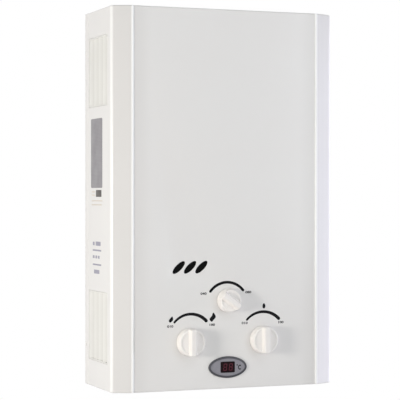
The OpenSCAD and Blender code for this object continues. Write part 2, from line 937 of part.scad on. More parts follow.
// Holes of the diaphragm screws
module disc_holes() {
    for (i = [0 : disc_screws - 1])
        translate([0, -rod_d, knob_z])
            rotate([360 * i / disc_screws, 0, 0])
                bar([cover_x - cut, disc_r - 4, 0], [housing_x + 8, disc_r - 4, 0], screw_r);
}

module diaphragm() {
    color(dark)
        difference() {
            bar([rubber_x, -rod_d, knob_z], [housing_x, -rod_d, knob_z], disc_r);
            disc_holes();
        }
}

module diaphragm_cover() {
    color(brass)
        difference() {
            bar([cover_x, -rod_d, knob_z], [rubber_x, -rod_d, knob_z], disc_r);
            bar([cover_x - cut, -rod_d, knob_z], [rubber_x + cut, -rod_d, knob_z], rod_r + run_fit);
            disc_holes();
        }
}

module diaphragm_screws() {
    color(steel)
        for (i = [0 : disc_screws - 1])
            translate([0, -rod_d, knob_z])
                rotate([360 * i / disc_screws, 0, 0])
                    screw([cover_x, disc_r - 4, 0], [1, 0, 0], disc_t + rubber_t + 6);
}

module link_rod() {
    color(steel) {
        bar([gas_boss_x - rod_in, -rod_d, knob_z], [rubber_x - slip, -rod_d, knob_z], rod_r);
        bar([collar_x, -rod_d, knob_z], [collar_x + collar_t, -rod_d, knob_z], collar_r);
    }
}

module microswitch() {
    color(dark) {
        block([switch_x - switch_w, -rod_d - switch_t / 2, switch_top - switch_h],
            [switch_x, -rod_d + switch_t / 2, switch_top]);
        for (y = [-switch_t / 2, lever_w / 2 + slip])
            block([switch_x - touch, -rod_d + y, pivot_z - 4],
                [lever_x + lever_t + 3, -rod_d + y + switch_t / 2 - lever_w / 2 - slip, switch_top]);
        bar([lever_x + lever_t / 2, -rod_d - switch_t / 2 + 1, pivot_z],
            [lever_x + lever_t / 2, -rod_d + switch_t / 2 - 1, pivot_z], pivot_r);
    }
}

module switch_lever() {
    mid = lever_x + lever_t / 2;
    color(steel)
        difference() {
            union() {
                bar([mid, -rod_d - lever_w / 2, pivot_z],
                    [mid, -rod_d + lever_w / 2, pivot_z], pivot_r + 1.2);
                block([lever_x, -rod_d - lever_w / 2, knob_z + rod_r + 1.5],
                    [lever_x + lever_t, -rod_d + lever_w / 2, pivot_z]);
            }
            bar([mid, -rod_d - lever_w, pivot_z], [mid, -rod_d + lever_w, pivot_z], pivot_r + run_fit);
        }
}

module switch_bracket() {
    color(zinc)
        block([switch_x - switch_w, -rod_d - switch_t / 2, switch_top],
            [cover_x, -rod_d + switch_t / 2, switch_top + 1.5]);
    color(zinc)
        block([cover_x - 1.5, -rod_d - switch_t / 2, knob_z + rod_r + 6],
            [cover_x, -rod_d + switch_t / 2, switch_top + 1]);
}

// Fittings

module fitting(x) {
    color(brass)
        translate([x, -inlet_d, 0])
            difference() {
                union() {
                    translate([0, 0, thread_end])
                        cylinder(h = thread_l + cut, r = thread_r);
                    translate([0, 0, thread_end + thread_l])
                        cylinder(h = hex_h, r = hex_af / sqrt(3), $fn = 6);
                    translate([0, 0, thread_end + thread_l + hex_h - touch])
                        cylinder(h = fitting_z - thread_end - thread_l - hex_h + touch, r = neck_r);
                }
                translate([0, 0, thread_end - cut])
                    cylinder(h = fitting_z - thread_end + 2 * cut, r = way_r);
            }
}

module gas_inlet() {
    fitting(gas_x);
}

module cold_inlet() {
    fitting(water_x);
}

module hot_outlet() {
    fitting(hot_x);
}

// Rubber rings with a groove for the bottom plate
module pipe_grommets() {
    color(dark)
        for (x = fittings)
            translate([x, -inlet_d, bottom_rise])
                rotate_extrude()
                    polygon([
                        [neck_r + touch, -1.6], [neck_r + grommet_t + 2, -1.6], [neck_r + grommet_t + 2, 0],
                        [neck_r + grommet_t - touch, 0], [neck_r + grommet_t - touch, sheet],
                        [neck_r + grommet_t + 2, sheet], [neck_r + grommet_t + 2, sheet + 1.6],
                        [neck_r + touch, sheet + 1.6]
                    ]);
}

module drain_plug() {
    color(plastic)
        translate([water_x, -drain_d, 0]) {
            translate([0, 0, bottom_rise - 17])
                cylinder(h = 10, r = drain_r);
            for (i = [0 : 11])
                rotate(30 * i)
                    translate([drain_r - 0.3, -1.2, bottom_rise - 16])
                        cube([1.3, 2.4, 8]);
            translate([0, 0, bottom_rise - 8])
                cylinder(h = drain_boss_z - bottom_rise + 5.5, r = drain_stem_r + 2.5);
            translate([0, 0, drain_boss_z - 3])
                cylinder(h = 20, r = drain_stem_r);
        }
}

module drain_seal() {
    color(dark)
        translate([water_x, -drain_d, drain_boss_z - 2.5])
            linear_extrude(2.2)
                difference() {
                    circle(r = drain_stem_r + 2.5);
                    circle(r = drain_stem_r + touch);
                }
}

// Burner

module gas_riser() {
    color(alloy)
        pipe_length([gas_x, -manifold_mid, gas_outlet_z], [gas_x, -manifold_mid, season_z - manifold_t / 2],
            riser_r, 2);
}

module gas_manifold() {
    color(alloy)
        difference() {
            union() {
                block([-manifold_w / 2, -manifold_rear - manifold_t, season_z - manifold_t / 2],
                    [manifold_w / 2, -manifold_rear, season_z + manifold_t / 2]);
                bar([season_x, -valve_front, season_z], [season_x, -manifold_mid, season_z], manifold_t / 2 + 4);
            }
            spindle_bore(season_x, season_z);
        }
}

module gas_jets() {
    color(brass)
        for (i = [0 : bar_count - 1])
            translate([(i - (bar_count - 1) / 2) * bar_pitch, -manifold_rear, season_z])
                difference() {
                    union() {
                        bar([0, 0, 0], [0, jet_base_l, 0], jet_base_r);
                        bar([0, jet_base_l - touch, 0], [0, jet_l, 0], jet_r);
                    }
                    bar([0, jet_base_l, 0], [0, jet_l + cut, 0], jet_bore_r);
                }
}

module burner_frame() {
    color(zinc) {
        for (s = [-1, 1]) {
            block([min(s * frame_x, s * (frame_x + frame_t)), -manifold_rear, bar_low],
                [max(s * frame_x, s * (frame_x + frame_t)), -sheet, chamber_z - frame_t]);
            block([min(s * frame_x, s * chamber_w / 2), -chamber_front, chamber_z - frame_t - touch],
                [max(s * frame_x, s * chamber_w / 2), -chamber_rear, chamber_z]);
        }
        for (d = [bar_front + slip, bar_rear - slip - frame_t])
            block([-frame_x - touch, -d - frame_t, rail_z], [frame_x + touch, -d, rail_z + rail_h]);
    }
}

module burner_bars() {
    ports = 10;
    span = bar_front - bar_rear;
    color(steel)
        for (i = [0 : bar_count - 1])
            translate([(i - (bar_count - 1) / 2) * bar_pitch, 0, 0])
                difference() {
                    union() {
                        bar([0, -bar_front, season_z], [0, -bar_front + 0.6 * span, season_z], 6.5);
                        block([-2.5, -bar_front, season_z], [2.5, -bar_rear, bar_top - 10]);
                        block([-5.5, -bar_front, bar_top - 12], [5.5, -bar_rear, bar_top]);
                    }
                    bar([0, -bar_front - cut, season_z], [0, -bar_front + 0.5 * span, season_z], 5);
                    for (k = [0 : ports - 1])
                        translate([0, -bar_front + (k + 0.5) * span / ports - 0.7, bar_top - 3])
                            cube([12, 1.4, 8], center = true);
                }
}

// Ceramic holder and wire, standing on the front rail of the burner
module electrode(x) {
    color(ceramic) {
        block([x - 6, -rail_front - frame_t, rail_z + 2], [x + 6, -rail_front, rail_z + rail_h - 2]);
        bar([x, -wire_d, rail_z - 8], [x, -wire_d, bar_top - 8], 3);
    }
    color(steel)
        pipe_run([[x, -wire_d, bar_top - 9], [x, -wire_d, bar_top + flame_gap / 2],
            [x, -bar_front + 12, bar_top + flame_gap / 2]], 1, 1, 2.5);
}

module spark_electrode() {
    electrode(spark_x);
}

module flame_sensor() {
    electrode(sensor_x);
}

// Heat exchanger

module combustion_chamber() {
    color(copper)
        difference() {
            translate([0, -tube_mid, chamber_z])
                linear_extrude(chamber_h)
                    rounded(chamber_w, chamber_d, corner_r);
            translate([0, -tube_mid, chamber_z - cut])
                linear_extrude(chamber_h - sheet + cut)
                    rounded(chamber_w - 2 * sheet, chamber_d - 2 * sheet, corner_r - sheet);
            translate([0, -tube_mid, chamber_z])
                linear_extrude(chamber_h + cut)
                    intersection() {
                        rounded(chamber_w - 2 * sheet, chamber_d - 2 * sheet, corner_r - sheet);
                        square([fin_w - 2 * sheet, chamber_d], center = true);
                    }
        }
}

module chamber_coil() {
    color(copper)
        pipe_run([
            [coil_x, -cold_d, coil_z - pipe_bend - 4],
            [coil_x, -cold_d, coil_z],
            [coil_x, -coil_front, coil_z],
            [-coil_x, -coil_front, coil_z],
            [-coil_x, -coil_rear, coil_z],
            [-coil_x, -coil_rear, coil_high],
            [-coil_x, -coil_front, coil_high],
            [coil_x, -coil_front, coil_high],
            [coil_x, -tube_d[0], coil_high],
            [coil_x, -tube_d[0], tube_z],
            [tube_end, -tube_d[0], tube_z]
        ], pipe_r, pipe_t, pipe_bend);
}

module fin_casing() {
    color(copper)
        difference() {
            block([-fin_w / 2, -chamber_front, chamber_top], [fin_w / 2, -chamber_rear, fin_top]);
            block([-fin_w / 2 + sheet, -chamber_front + sheet, chamber_top - cut],
                [fin_w / 2 - sheet, -chamber_rear - sheet, fin_top + cut]);
            tube_holes();
        }
}

// Holes for the exchanger tubes
module tube_holes() {
    for (d = tube_d)
        bar([-fin_w, -d, tube_z], [fin_w, -d, tube_z], pipe_r + touch / 2);
}

module heat_fins() {
    count = floor((fin_w - 2 * sheet - 2 * fin_pitch) / fin_pitch / 2);
    color(copper)
        for (i = [-count : count])
            difference() {
                block([i * fin_pitch - fin_t / 2, -chamber_front + sheet + touch, chamber_top + 2],
                    [i * fin_pitch + fin_t / 2, -chamber_rear - sheet - touch, fin_top - 2]);
                tube_holes();
            }
}

module exchanger_tubes() {
    color(copper) {
        for (d = tube_d)
            pipe_length([-tube_end, -d, tube_z], [tube_end, -d, tube_z], pipe_r, pipe_t);
        translate([-tube_end, -(tube_d[0] + tube_d[1]) / 2, tube_z])
            rotate(90)
                rotate_extrude(angle = 180)
                    translate([tube_pitch / 2, 0])
                        ring(pipe_r, pipe_t);
        translate([tube_end, -(tube_d[1] + tube_d[2]) / 2, tube_z])
            rotate(-90)
                rotate_extrude(angle = 180)
                    translate([tube_pitch / 2, 0])
                        ring(pipe_r, pipe_t);
    }
}

module chamber_brackets() {
    color(zinc)
        for (x = [-bracket_x, bracket_x])
            translate([x, 0, chamber_top - bracket_drop - bracket_h])
                difference() {
                    block([-bracket_w / 2, -chamber_rear, 0], [bracket_w / 2, -sheet, bracket_h]);
                    block([-bracket_w / 2 + bracket_t, -chamber_rear + bracket_t, -cut],
                        [bracket_w / 2 - bracket_t, -sheet - bracket_t, bracket_h + cut]);
                }
}

// Corners of a level rectangle, from its low and high corner, at a height
function level(c, z) = [for (i = [[0, 0], [1, 0], [1, 1], [0, 1]]) [c[i.x].x, c[i.y].y, z]];

// Tapered duct between two level rectangles
module duct(low, high, z0, z1) {
    polyhedron(concat(level(low, z0), level(high, z1)), concat(
        [[0, 1, 2, 3], [7, 6, 5, 4]],
        [for (i = [0 : 3]) [4 + i, 4 + (i + 1) % 4, (i + 1) % 4, i]]
    ));
}

// Outline of the hood moved inwards, at its foot and at its outlet
function hood_foot(t) = [[-fin_w / 2 + t, -chamber_front + t], [fin_w / 2 - t, -chamber_rear - t]];
function hood_mouth(t) = [
    [-flue_w / 2 + t, -flue_mid - flue_d / 2 + t],
    [flue_w / 2 - t, -flue_mid + flue_d / 2 - t]
];

module hood_solid(t, extra) {
    duct(hood_foot(t), hood_foot(t), fin_top - extra, fin_top + hood_low);
    duct(hood_foot(t), hood_mouth(t), fin_top + hood_low, top_z - hood_neck);
    duct(hood_mouth(t), hood_mouth(t), top_z - hood_neck, top_z + extra);
}

module flue_hood() {
    color(zinc)
        difference() {
            hood_solid(0, 0);
            hood_solid(sheet, cut);
        }
}

module overheat_cutout() {
    color(dark)
        translate([cutout_x, -chamber_front, fin_top + hood_low / 2]) {
            bar([0, 0, 0], [0, -cutout_h, 0], cutout_r);
            for (s = [-1, 1])
                translate([s * cutout_r / 2, 0, 0])
                    block([-tab_w / 2, -cutout_h - tab_l, -tab_t / 2],
                        [tab_w / 2, -cutout_h + touch, tab_t / 2]);
        }
}

module cold_pipe() {
    color(copper)
        pipe_run([
            [cold_boss_x, -cold_d, knob_z],
            [coil_x, -cold_d, knob_z],
            [coil_x, -cold_d, coil_z - pipe_bend - 4]
        ], pipe_r, pipe_t, pipe_bend);
}

module hot_pipe() {
    color(copper)
        pipe_run([
            [-tube_end, -tube_d[2], tube_z],
            [hot_x, -tube_d[2], tube_z],
            [hot_x, -tube_d[2], hot_low],
            [hot_x, -inlet_d, hot_low],
            [hot_x, -inlet_d, fitting_z]
        ], pipe_r, pipe_t, pipe_bend);
}

// Electrical parts

module ignition_box() {
    color(dark) {
        block([igniter_x, -sheet - igniter_t, igniter_z],
            [igniter_x + igniter_w, -sheet, igniter_z + igniter_h]);
        for (i = [0 : 2])
            block([terminal(i) - 3.5, -terminal_d - 9, igniter_z + igniter_h - touch],
                [terminal(i) + 3.5, -terminal_d + 9, terminal_z]);
    }
}

// Place of one terminal of the ignition box, as x
function terminal(i) = igniter_x + 8 + 10 * i;

// Way of a lead from a terminal to the foot of an electrode
function electrode_lead(i, x, z, d) = [
    [terminal(i), -terminal_d, terminal_z],
    [terminal(i), -terminal_d, terminal_z + 7],
    [terminal(i), -d, terminal_z + 7],
    [terminal(i), -d, z],
    [x, -d, z],
    [x, -wire_d, z],
    [x, -wire_d, rail_z - 8]
];

// Way of the supply lead from a terminal to the top of the battery box
function supply_lead(i) =
    let (x = box_mid, d = (box_front + box_rear) / 2)
    [
        [terminal(i), -terminal_d, terminal_z],
        [terminal(i), -terminal_d, terminal_z + 5],
        [x, -terminal_d, terminal_z + 5],
        [x, -d, terminal_z + 5],
        [x, -d, floor_z + box_h + box_t]
    ];

module leads() {
    color([0.75, 0.2, 0.15]) {
        pipe_run(electrode_lead(0, spark_x, lead_z, lead_d), lead_r, lead_r, lead_bend);
        pipe_run(electrode_lead(1, sensor_x, lead_z + 4, lead_d + 4), lead_r, lead_r, lead_bend);
        pipe_run(supply_lead(2), lead_r, lead_r, lead_bend);
    }
}

module battery_box() {
    color(dark)
        difference() {
            block([box_left - box_t, -box_front - box_t, floor_z],
                [box_right + box_t, -box_rear + box_t, floor_z + box_h + box_t]);
            block([box_left, -box_front, floor_z - cut], [box_right, -box_rear, floor_z + box_h]);
        }
}

module battery_contacts() {
    color(steel)
        for (s = [-1, 1])
            translate([box_mid + s * box_w / 4, -(box_front + box_rear) / 2, floor_z + box_h - contact_t])
                block([-contact_w / 2, -contact_w / 2, 0], [contact_w / 2, contact_w / 2, contact_t]);
}

module battery_door() {
    color(plastic)
        difference() {
            union() {
                block([box_left + slip, -box_front - door_lip, door_z - door_t],
                    [box_right - slip, -hinge_d, door_z]);
                for (i = [1 : rib_count])
                    block([box_mid - box_w / 6, -box_front + (2 * i - 1) * rib_t, door_z - door_t - rib_t],
                        [box_mid + box_w / 6, -box_front + 2 * i * rib_t, door_z - door_t + touch]);
                bar([box_left + slip, -hinge_d, hinge_z], [box_right - slip, -hinge_d, hinge_z], barrel_r);
            }
            bar([box_left - cut, -hinge_d, hinge_z], [box_right + cut, -hinge_d, hinge_z], pin_r + run_fit);
        }
}

module door_contact() {
    color(steel)
        block([box_mid - box_w / 3, -(box_front + box_rear) / 2 - contact_w / 2, door_z],
            [box_mid + box_w / 3, -(box_front + box_rear) / 2 + contact_w / 2, door_z + contact_t]);
}

module door_pin() {
    color(steel)
        bar([box_left - ear_t, -hinge_d, hinge_z], [box_right + ear_t, -hinge_d, hinge_z], pin_r - 0.02);
}

back_plate();
front_cover();
top_plate();
bottom_plate();
cover_screws();
plate_screws();
grille_left_low();
grille_left_high();
grille_right_low();
grille_right_high();
sight_glass();
display_bezel();
display_window();
digit_module();
display_board();
season_knob();
gas_knob();
water_knob();
season_spindle();
gas_spindle();
water_spindle();
gas_valve();
water_valve();
diaphragm();
diaphragm_cover();
diaphragm_screws();
link_rod();
microswitch();
switch_lever();
switch_bracket();
gas_inlet();
cold_inlet();
hot_outlet();
pipe_grommets();
drain_plug();
drain_seal();
gas_riser();
gas_manifold();
gas_jets();
burner_frame();
burner_bars();
spark_electrode();
flame_sensor();
combustion_chamber();
chamber_coil();
fin_casing();
heat_fins();
exchanger_tubes();
chamber_brackets();
flue_hood();
overheat_cutout();
cold_pipe();
hot_pipe();
ignition_box();
leads();
battery_box();
battery_contacts();
battery_door();
door_contact();
door_pin();
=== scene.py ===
"""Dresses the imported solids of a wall-hung gas water heater and sets them up for a picture.

Lengths in the classes are millimetres in the frame of the solids: x to the right seen from the front, y into the
wall, z up from the lower edge of the casing. They become metres where a mesh is written.
"""

from __future__ import annotations

import json
import logging
import math
from collections.abc import Sequence
from dataclasses import dataclass
from enum import Enum
from typing import Any

import bmesh
import bpy
import numpy as np
from mathutils import Matrix, Vector
from numpy.typing import NDArray


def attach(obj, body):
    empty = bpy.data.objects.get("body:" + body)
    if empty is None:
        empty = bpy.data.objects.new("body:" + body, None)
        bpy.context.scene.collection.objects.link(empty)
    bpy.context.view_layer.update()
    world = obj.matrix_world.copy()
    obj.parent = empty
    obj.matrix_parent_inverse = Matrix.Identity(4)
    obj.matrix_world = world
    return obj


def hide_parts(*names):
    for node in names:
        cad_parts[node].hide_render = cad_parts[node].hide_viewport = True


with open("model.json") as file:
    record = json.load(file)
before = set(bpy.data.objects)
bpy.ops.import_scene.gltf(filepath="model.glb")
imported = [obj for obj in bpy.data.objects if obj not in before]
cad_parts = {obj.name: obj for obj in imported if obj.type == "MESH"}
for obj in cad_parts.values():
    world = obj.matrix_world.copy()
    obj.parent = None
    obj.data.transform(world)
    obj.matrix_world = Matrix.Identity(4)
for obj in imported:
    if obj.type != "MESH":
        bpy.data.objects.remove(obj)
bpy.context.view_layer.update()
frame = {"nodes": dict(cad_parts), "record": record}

LOG = logging.getLogger("water_heater")
MM = 0.001
Points = NDArray[np.float64]
Corners = NDArray[np.int64]
Tree = bpy.types.NodeTree
Mesh = bpy.types.Mesh
Node = bpy.types.Node
Socket = bpy.types.NodeSocket
Pair = tuple[float, float]
Row = tuple[float, ...]

# Places that several pieces share: half the casing's width, the panel's distance from the wall, the knobs and the
# display as x and z, the grilles' windows, and the pipe fittings as x
HALF_W, PANEL_Y = 172.5, 137.0
SEASON_AT, GAS_AT, WATER_AT = (2.2, 128.0), (-57.0, 69.5), (57.0, 69.5)
DISPLAY_AT = (1.7, 31.3)
GRILLE_REAR, GRILLE_W, GRILLE_H = 22.0, 89.0, 102.0
GRILLE_Z = {"low": 39.0, "high": 409.0}
PIPE_X = {"gas_inlet": -57.0, "cold_inlet": 57.0, "hot_outlet": -113.7}

# How far a print or plate is sunk into what it lies on
SUNK = 0.05

# Spans that the finishes read: of the noise for colour and for gloss, and of the turn of a rubbed edge
TONE_SPAN = {"From Min": 0.25, "From Max": 0.75}
GLOSS_SPAN = {"From Min": 0.3, "From Max": 0.7}
EDGE_SPAN = {"From Min": 0.995, "From Max": 0.88}
COAT_ROUGHNESS = 0.12

# Width over which a band of painted shade ends
SHADE_BAND_END = 1.0

# Points of a mesh that are closer than this, in metres, are one
MERGE = 1e-7


class Side(Enum):
    """Side of the casing, with the sign of its x."""

    LEFT = -1.0
    RIGHT = 1.0


# Colour and nodes


def linear(hex_colour: str) -> tuple[float, float, float, float]:
    """Turns an sRGB colour into linear light by the sRGB curve.

    Args:
        hex_colour: colour as "#RRGGBB".

    Returns:
        Red, green and blue in linear light, and an alpha of 1.
    """
    s = np.array([int(hex_colour[i : i + 2], 16) for i in (1, 3, 5)]) / 255
    light = np.where(s <= 0.04045, s / 12.92, ((s + 0.055) / 1.055) ** 2.4)
    return (*light.tolist(), 1.0)


def put(tree: Tree, kind: str, inputs: dict[Any, Any], **settings: Any) -> Node:
    """Adds one shader node with its settings, and fills or links its inputs.

    Args:
        tree: node tree that gets the node.
        kind: node type without its common first part.
        inputs: for each input, by name or number, a value, a socket, or a node whose first output it gets.
        settings: properties of the node itself.

    Returns:
        The new node.
    """
    node = tree.nodes.new("ShaderNode" + kind)
    for key, value in settings.items():
        setattr(node, key, value)
    for key, value in inputs.items():
        source = value.outputs[0] if isinstance(value, Node) else value
        if isinstance(source, Socket):
            tree.links.new(source, node.inputs[key])
        else:
            node.inputs[key].default_value = source
    return node


# Stretch of a relief that is alike in every direction
EVEN = (1.0, 1.0, 1.0)


class Relief(Enum):
    """How a surface was made: node type, inputs, settings, output and stretch of the texture of its fine relief."""

    SPRAYED = ("TexNoise", {"Detail": 1.0, "Roughness": 0.4}, {}, "Fac", EVEN)
    MOULDED = ("TexNoise", {"Detail": 3.0, "Roughness": 0.6}, {}, "Fac", EVEN)
    DIPPED = ("TexVoronoi", {"Randomness": 1.0}, {}, "Color", EVEN)
    DRAWN = ("TexNoise", {"Detail": 4.0, "Roughness": 0.6}, {}, "Fac", (1.0, 1.0, 0.03))
    TURNED = ("TexNoise", {"Detail": 3.0, "Roughness": 0.6}, {}, "Fac", (0.04, 0.04, 1.0))
    CAST = ("TexNoise", {"Detail": 7.0, "Roughness": 0.7}, {}, "Fac", EVEN)
    RULED = ("TexWave", {"Distortion": 0.4, "Detail": 2.0, "Detail Scale": 3.0}, {"bands_direction": "Z"}, "Fac",
             (0.16, 0.16, 0.16))


class Rise(Enum):
    """How the painted shade grows from the start of its band."""

    EVEN = "LINEAR"
    SOFT = "SMOOTHSTEP"


@dataclass(frozen=True)
class PaintedShadeBand:
    """Band of painted shade on the casing, by the distance from its middle: from start to full it grows, and at end it
    stops.

    Cover is how much it hides on the left and on the right, and thin what is left of it in the thinnest patches.
    """

    start: float
    full: float
    end: float
    cover: Pair
    thin: float
    colour: str
    rise: Rise


@dataclass(frozen=True)
class PaintedHighlight:
    """Bend with a painted highlight, its colour drawn lighter, at a distance from the middle and a depth from the wall.

    The painted highlight grows from start to full, counted towards that place, and takes over a share of the colour.
    """

    x: float
    depth: float
    start: float
    full: float
    share: float
    colour: str = "#FFFEFC"


@dataclass(frozen=True)
class Finish:
    """One real material and how its surface was made.

    Attributes:
        shade: sRGB colour of its patches.
        spread: how far the roughness goes to either side.
        worn: sRGB colour of its rubbed edges and of the low spots in its relief.
        tint: how much the fine relief changes the colour.
        edge_mm: radius to which sharp edges are rubbed round, 0 for none.
        specular: reflection of a non-metal, 0.5 for an IOR of 1.5.
    """

    name: str
    colour: str
    shade: str
    roughness: float
    spread: float
    relief: Relief
    grain_mm: float
    height_mm: float
    patch_mm: float
    worn: str = ""
    tint: float = 0.0
    metallic: float = 0.0
    edge_mm: float = 0.0
    wear: float = 0.4
    specular: float = 0.5
    coat: float = 0.0
    glow: float = 0.0
    painted_shade_bands: tuple[PaintedShadeBand, ...] = ()
    painted_highlights: tuple[PaintedHighlight, ...] = ()

    def painted_shade_and_highlights(self, tree: Tree, place: Socket, tone: Node) -> list[tuple[Node, str]]:
        """Painted shade in bands by the distance from the middle, and painted highlights by the place in the plan.

        Args:
            tree: node tree of the material.
            place: point on the piece.
            tone: patches between 0 and 1.

        Returns:
            Share and sRGB colour of each.
        """
        made: list[tuple[Node, str]] = []
        axes = put(tree, "SeparateXYZ", {0: place}).outputs
        off = put(tree, "Math", {0: axes["X"]}, operation="ABSOLUTE")
        # Painted shade: each band darkens the colour by the distance from the middle, thinned by the patches
        for v in self.painted_shade_bands:
            shade_band = put(tree, "MapRange", {"Value": off, "From Min": v.start * MM, "From Max": v.full * MM},
                       interpolation_type=v.rise.value)
            stop = put(tree, "MapRange", {"Value": off, "From Min": (v.end + SHADE_BAND_END) * MM, "From Max": v.end * MM})
            left, right = v.cover
            cover = put(tree, "MapRange", {"Value": axes["X"], "From Min": -MM, "From Max": MM, "To Min": left,
                                           "To Max": right})
            thin = put(tree, "MapRange", {"Value": tone, "To Min": 1.0, "To Max": v.thin})
            for part in (stop, cover, thin):
                shade_band = put(tree, "Math", {0: shade_band, 1: part}, operation="MULTIPLY")
            made.append((shade_band, v.colour))
        # Painted highlight: the colour lightens near each bend of the plan
        plan = put(tree, "CombineXYZ", {"X": off, "Y": axes["Y"]})
        for c in self.painted_highlights:
            near = put(tree, "VectorMath", {0: plan, 1: (c.x * MM, -c.depth * MM, 0.0)}, operation="DISTANCE")
            bend = put(tree, "MapRange", {"Value": near.outputs["Value"], "From Min": c.start * MM,
                                          "From Max": c.full * MM, "To Max": c.share})
            made.append((bend, c.colour))
        return made

    def material(self) -> bpy.types.Material:
        """Builds the node material the first time and gives it back after that.

        Returns:
            Material with patches of colour, fine relief, uneven gloss, rubbed edges, and painted shade and highlights
            where it has them.
        """
        made = bpy.data.materials.get(self.name)
        if made:
            return made
        made = bpy.data.materials.new(self.name)
        made.use_nodes = True
        tree = made.node_tree
        tree.nodes.clear()
        place = put(tree, "TexCoord", {}).outputs["Object"]

        kind, inputs, settings, out, stretch = self.relief.value
        fine = put(tree, "Mapping", {"Vector": place, "Scale": tuple(s / (self.grain_mm * MM) for s in stretch)})
        grain = put(tree, kind, {"Vector": fine, "Scale": 1.0, **inputs}, **settings).outputs[out]

        patch = put(tree, "TexNoise", {"Vector": place, "Scale": 1 / (self.patch_mm * MM), "Detail": 2.0})
        tone = put(tree, "MapRange", {"Value": patch, **TONE_SPAN})
        layers = [(tone, self.shade)]
        if self.tint:
            layers.append((put(tree, "MapRange", {"Value": grain, "To Min": self.tint, "To Max": 0.0}), self.worn))
        # Painted shade and painted highlights laid over the colour
        if self.painted_shade_bands or self.painted_highlights:
            layers += self.painted_shade_and_highlights(tree, place, tone)

        bump = {"Height": grain, "Strength": 1.0, "Distance": self.height_mm * MM}
        if self.edge_mm:
            soft = put(tree, "Bevel", {"Radius": self.edge_mm * MM}, samples=4)
            plain = put(tree, "NewGeometry", {}).outputs["Normal"]
            turn = put(tree, "VectorMath", {0: soft, 1: plain}, operation="DOT_PRODUCT").outputs["Value"]
            edge = put(tree, "MapRange", {"Value": turn, **EDGE_SPAN, "To Max": self.wear})
            layers.append((put(tree, "Math", {0: edge, 1: tone}, operation="MULTIPLY"), self.worn))
            bump["Normal"] = soft
        base = linear(self.colour)
        for share, colour in layers:
            base = put(tree, "Mix", {0: share, 6: base, 7: linear(colour)}, data_type="RGBA").outputs[2]
        rough = put(tree, "MapRange", {"Value": patch, **GLOSS_SPAN, "To Min": self.roughness - self.spread,
                                       "To Max": self.roughness + self.spread})
        shader = put(tree, "BsdfPrincipled", {
            "Base Color": base, "Roughness": rough, "Metallic": self.metallic, "Normal": put(tree, "Bump", bump),
            "Specular IOR Level": self.specular, "Coat Weight": self.coat, "Coat Roughness": COAT_ROUGHNESS})
        if self.glow:
            tree.links.new(base, shader.inputs["Emission Color"])
            shader.inputs["Emission Strength"].default_value = self.glow
        put(tree, "OutputMaterial", {"Surface": shader})
        return made


# Stove enamel sprayed on folded steel: warm white, glossy, with a faint orange peel in its reflections. Over the ridges
# it carries a painted highlight, beside them and on the left column a painted shade, and its rubbed edges are drawn
# lighter, which is partly real wear and partly a painted highlight
ENAMEL = Finish("sprayed_stove_enamel_on_steel", "#E9E7E4", "#E8E5E2", 0.32, 0.02, Relief.SPRAYED, 2.4, 0.006, 160.0,
                worn="#F8F7F4", tint=0.07, edge_mm=0.5, wear=0.35, specular=0.6, coat=0.5,
                painted_shade_bands=(PaintedShadeBand(112.0, 141.4, 141.4, (0.22, 0.22), 0.75, "#B9B4AF", Rise.SOFT),
                       PaintedShadeBand(141.4, 142.4, 168.5, (0.32, 0.0), 0.75, "#B9B4AF", Rise.SOFT)),
                painted_highlights=(PaintedHighlight(143.4, 138.4, 2.47, 1.33, 1.0), PaintedHighlight(170.9, 124.4, 3.12, 1.68, 0.45)))
# Moulded ABS of the knobs: warm white with a satin skin
KNOB_ABS = Finish("moulded_warm_white_abs", "#F8F4EF", "#F5F0EB", 0.36, 0.05, Relief.MOULDED, 0.8, 0.006, 12.0)
# Moulded polypropylene of the side grilles: softer and duller than the enamel round it, with painted shade towards its
# depth
GRILLE_PP = Finish("moulded_white_polypropylene", "#ECEBE7", "#E8E7E2", 0.45, 0.06, Relief.MOULDED, 1.0, 0.01, 25.0,
                   worn="#F4F3EF", edge_mm=0.4,
                   painted_shade_bands=(PaintedShadeBand(172.0, 168.6, HALF_W, (0.24, 0.24), 0.7, "#A9A59C", Rise.EVEN),))
# The same plastic moulded as the drain plug: a plain satin white
PLUG_PP = Finish("moulded_white_polypropylene_plug", "#EAE8E2", "#E4E2DC", 0.45, 0.06, Relief.MOULDED, 1.0, 0.01, 25.0,
                 worn="#F2F1ED", edge_mm=0.4)
# Moulded grey ABS of the boxes inside the casing and the battery door: an even, slightly rough mid grey
GREY_ABS = Finish("moulded_grey_abs", "#B9BABA", "#B1B2B3", 0.5, 0.06, Relief.MOULDED, 1.2, 0.02, 18.0, worn="#C8C9C9",
                  edge_mm=0.4)
# Moulded dark ABS of the display's rim: nearly black, polished enough to catch a line of light
RIM_ABS = Finish("moulded_dark_grey_abs", "#48484E", "#424248", 0.35, 0.05, Relief.MOULDED, 0.7, 0.006, 9.0)
# Satin paint on the display's face: flat mid grey with a fine silver grit
FACE_PAINT = Finish("silver_grey_painted_abs", "#8B898F", "#838188", 0.46, 0.06, Relief.CAST, 0.7, 0.01, 7.0,
                    worn="#A2A0A6", tint=0.25)
# Smoked acrylic of the display window: nearly black red, polished
SMOKED_ACRYLIC = Finish("polished_smoked_acrylic", "#140408", "#1A070C", 0.22, 0.03, Relief.SPRAYED, 3.0, 0.002, 6.0,
                        specular=0.12)
# Light-guide bars of the digits behind the smoked window: a dim red
DIGIT_BARS = Finish("diffusing_red_acrylic", "#5A2430", "#4A1E2A", 0.4, 0.05, Relief.MOULDED, 0.6, 0.002, 2.0,
                    specular=0.1, glow=0.12)
# Screen ink, baked: matt black with a slightly grainy coat
INK = Finish("baked_black_screen_ink", "#08070A", "#0E0D10", 0.55, 0.06, Relief.CAST, 0.5, 0.004, 5.0, specular=0.12)
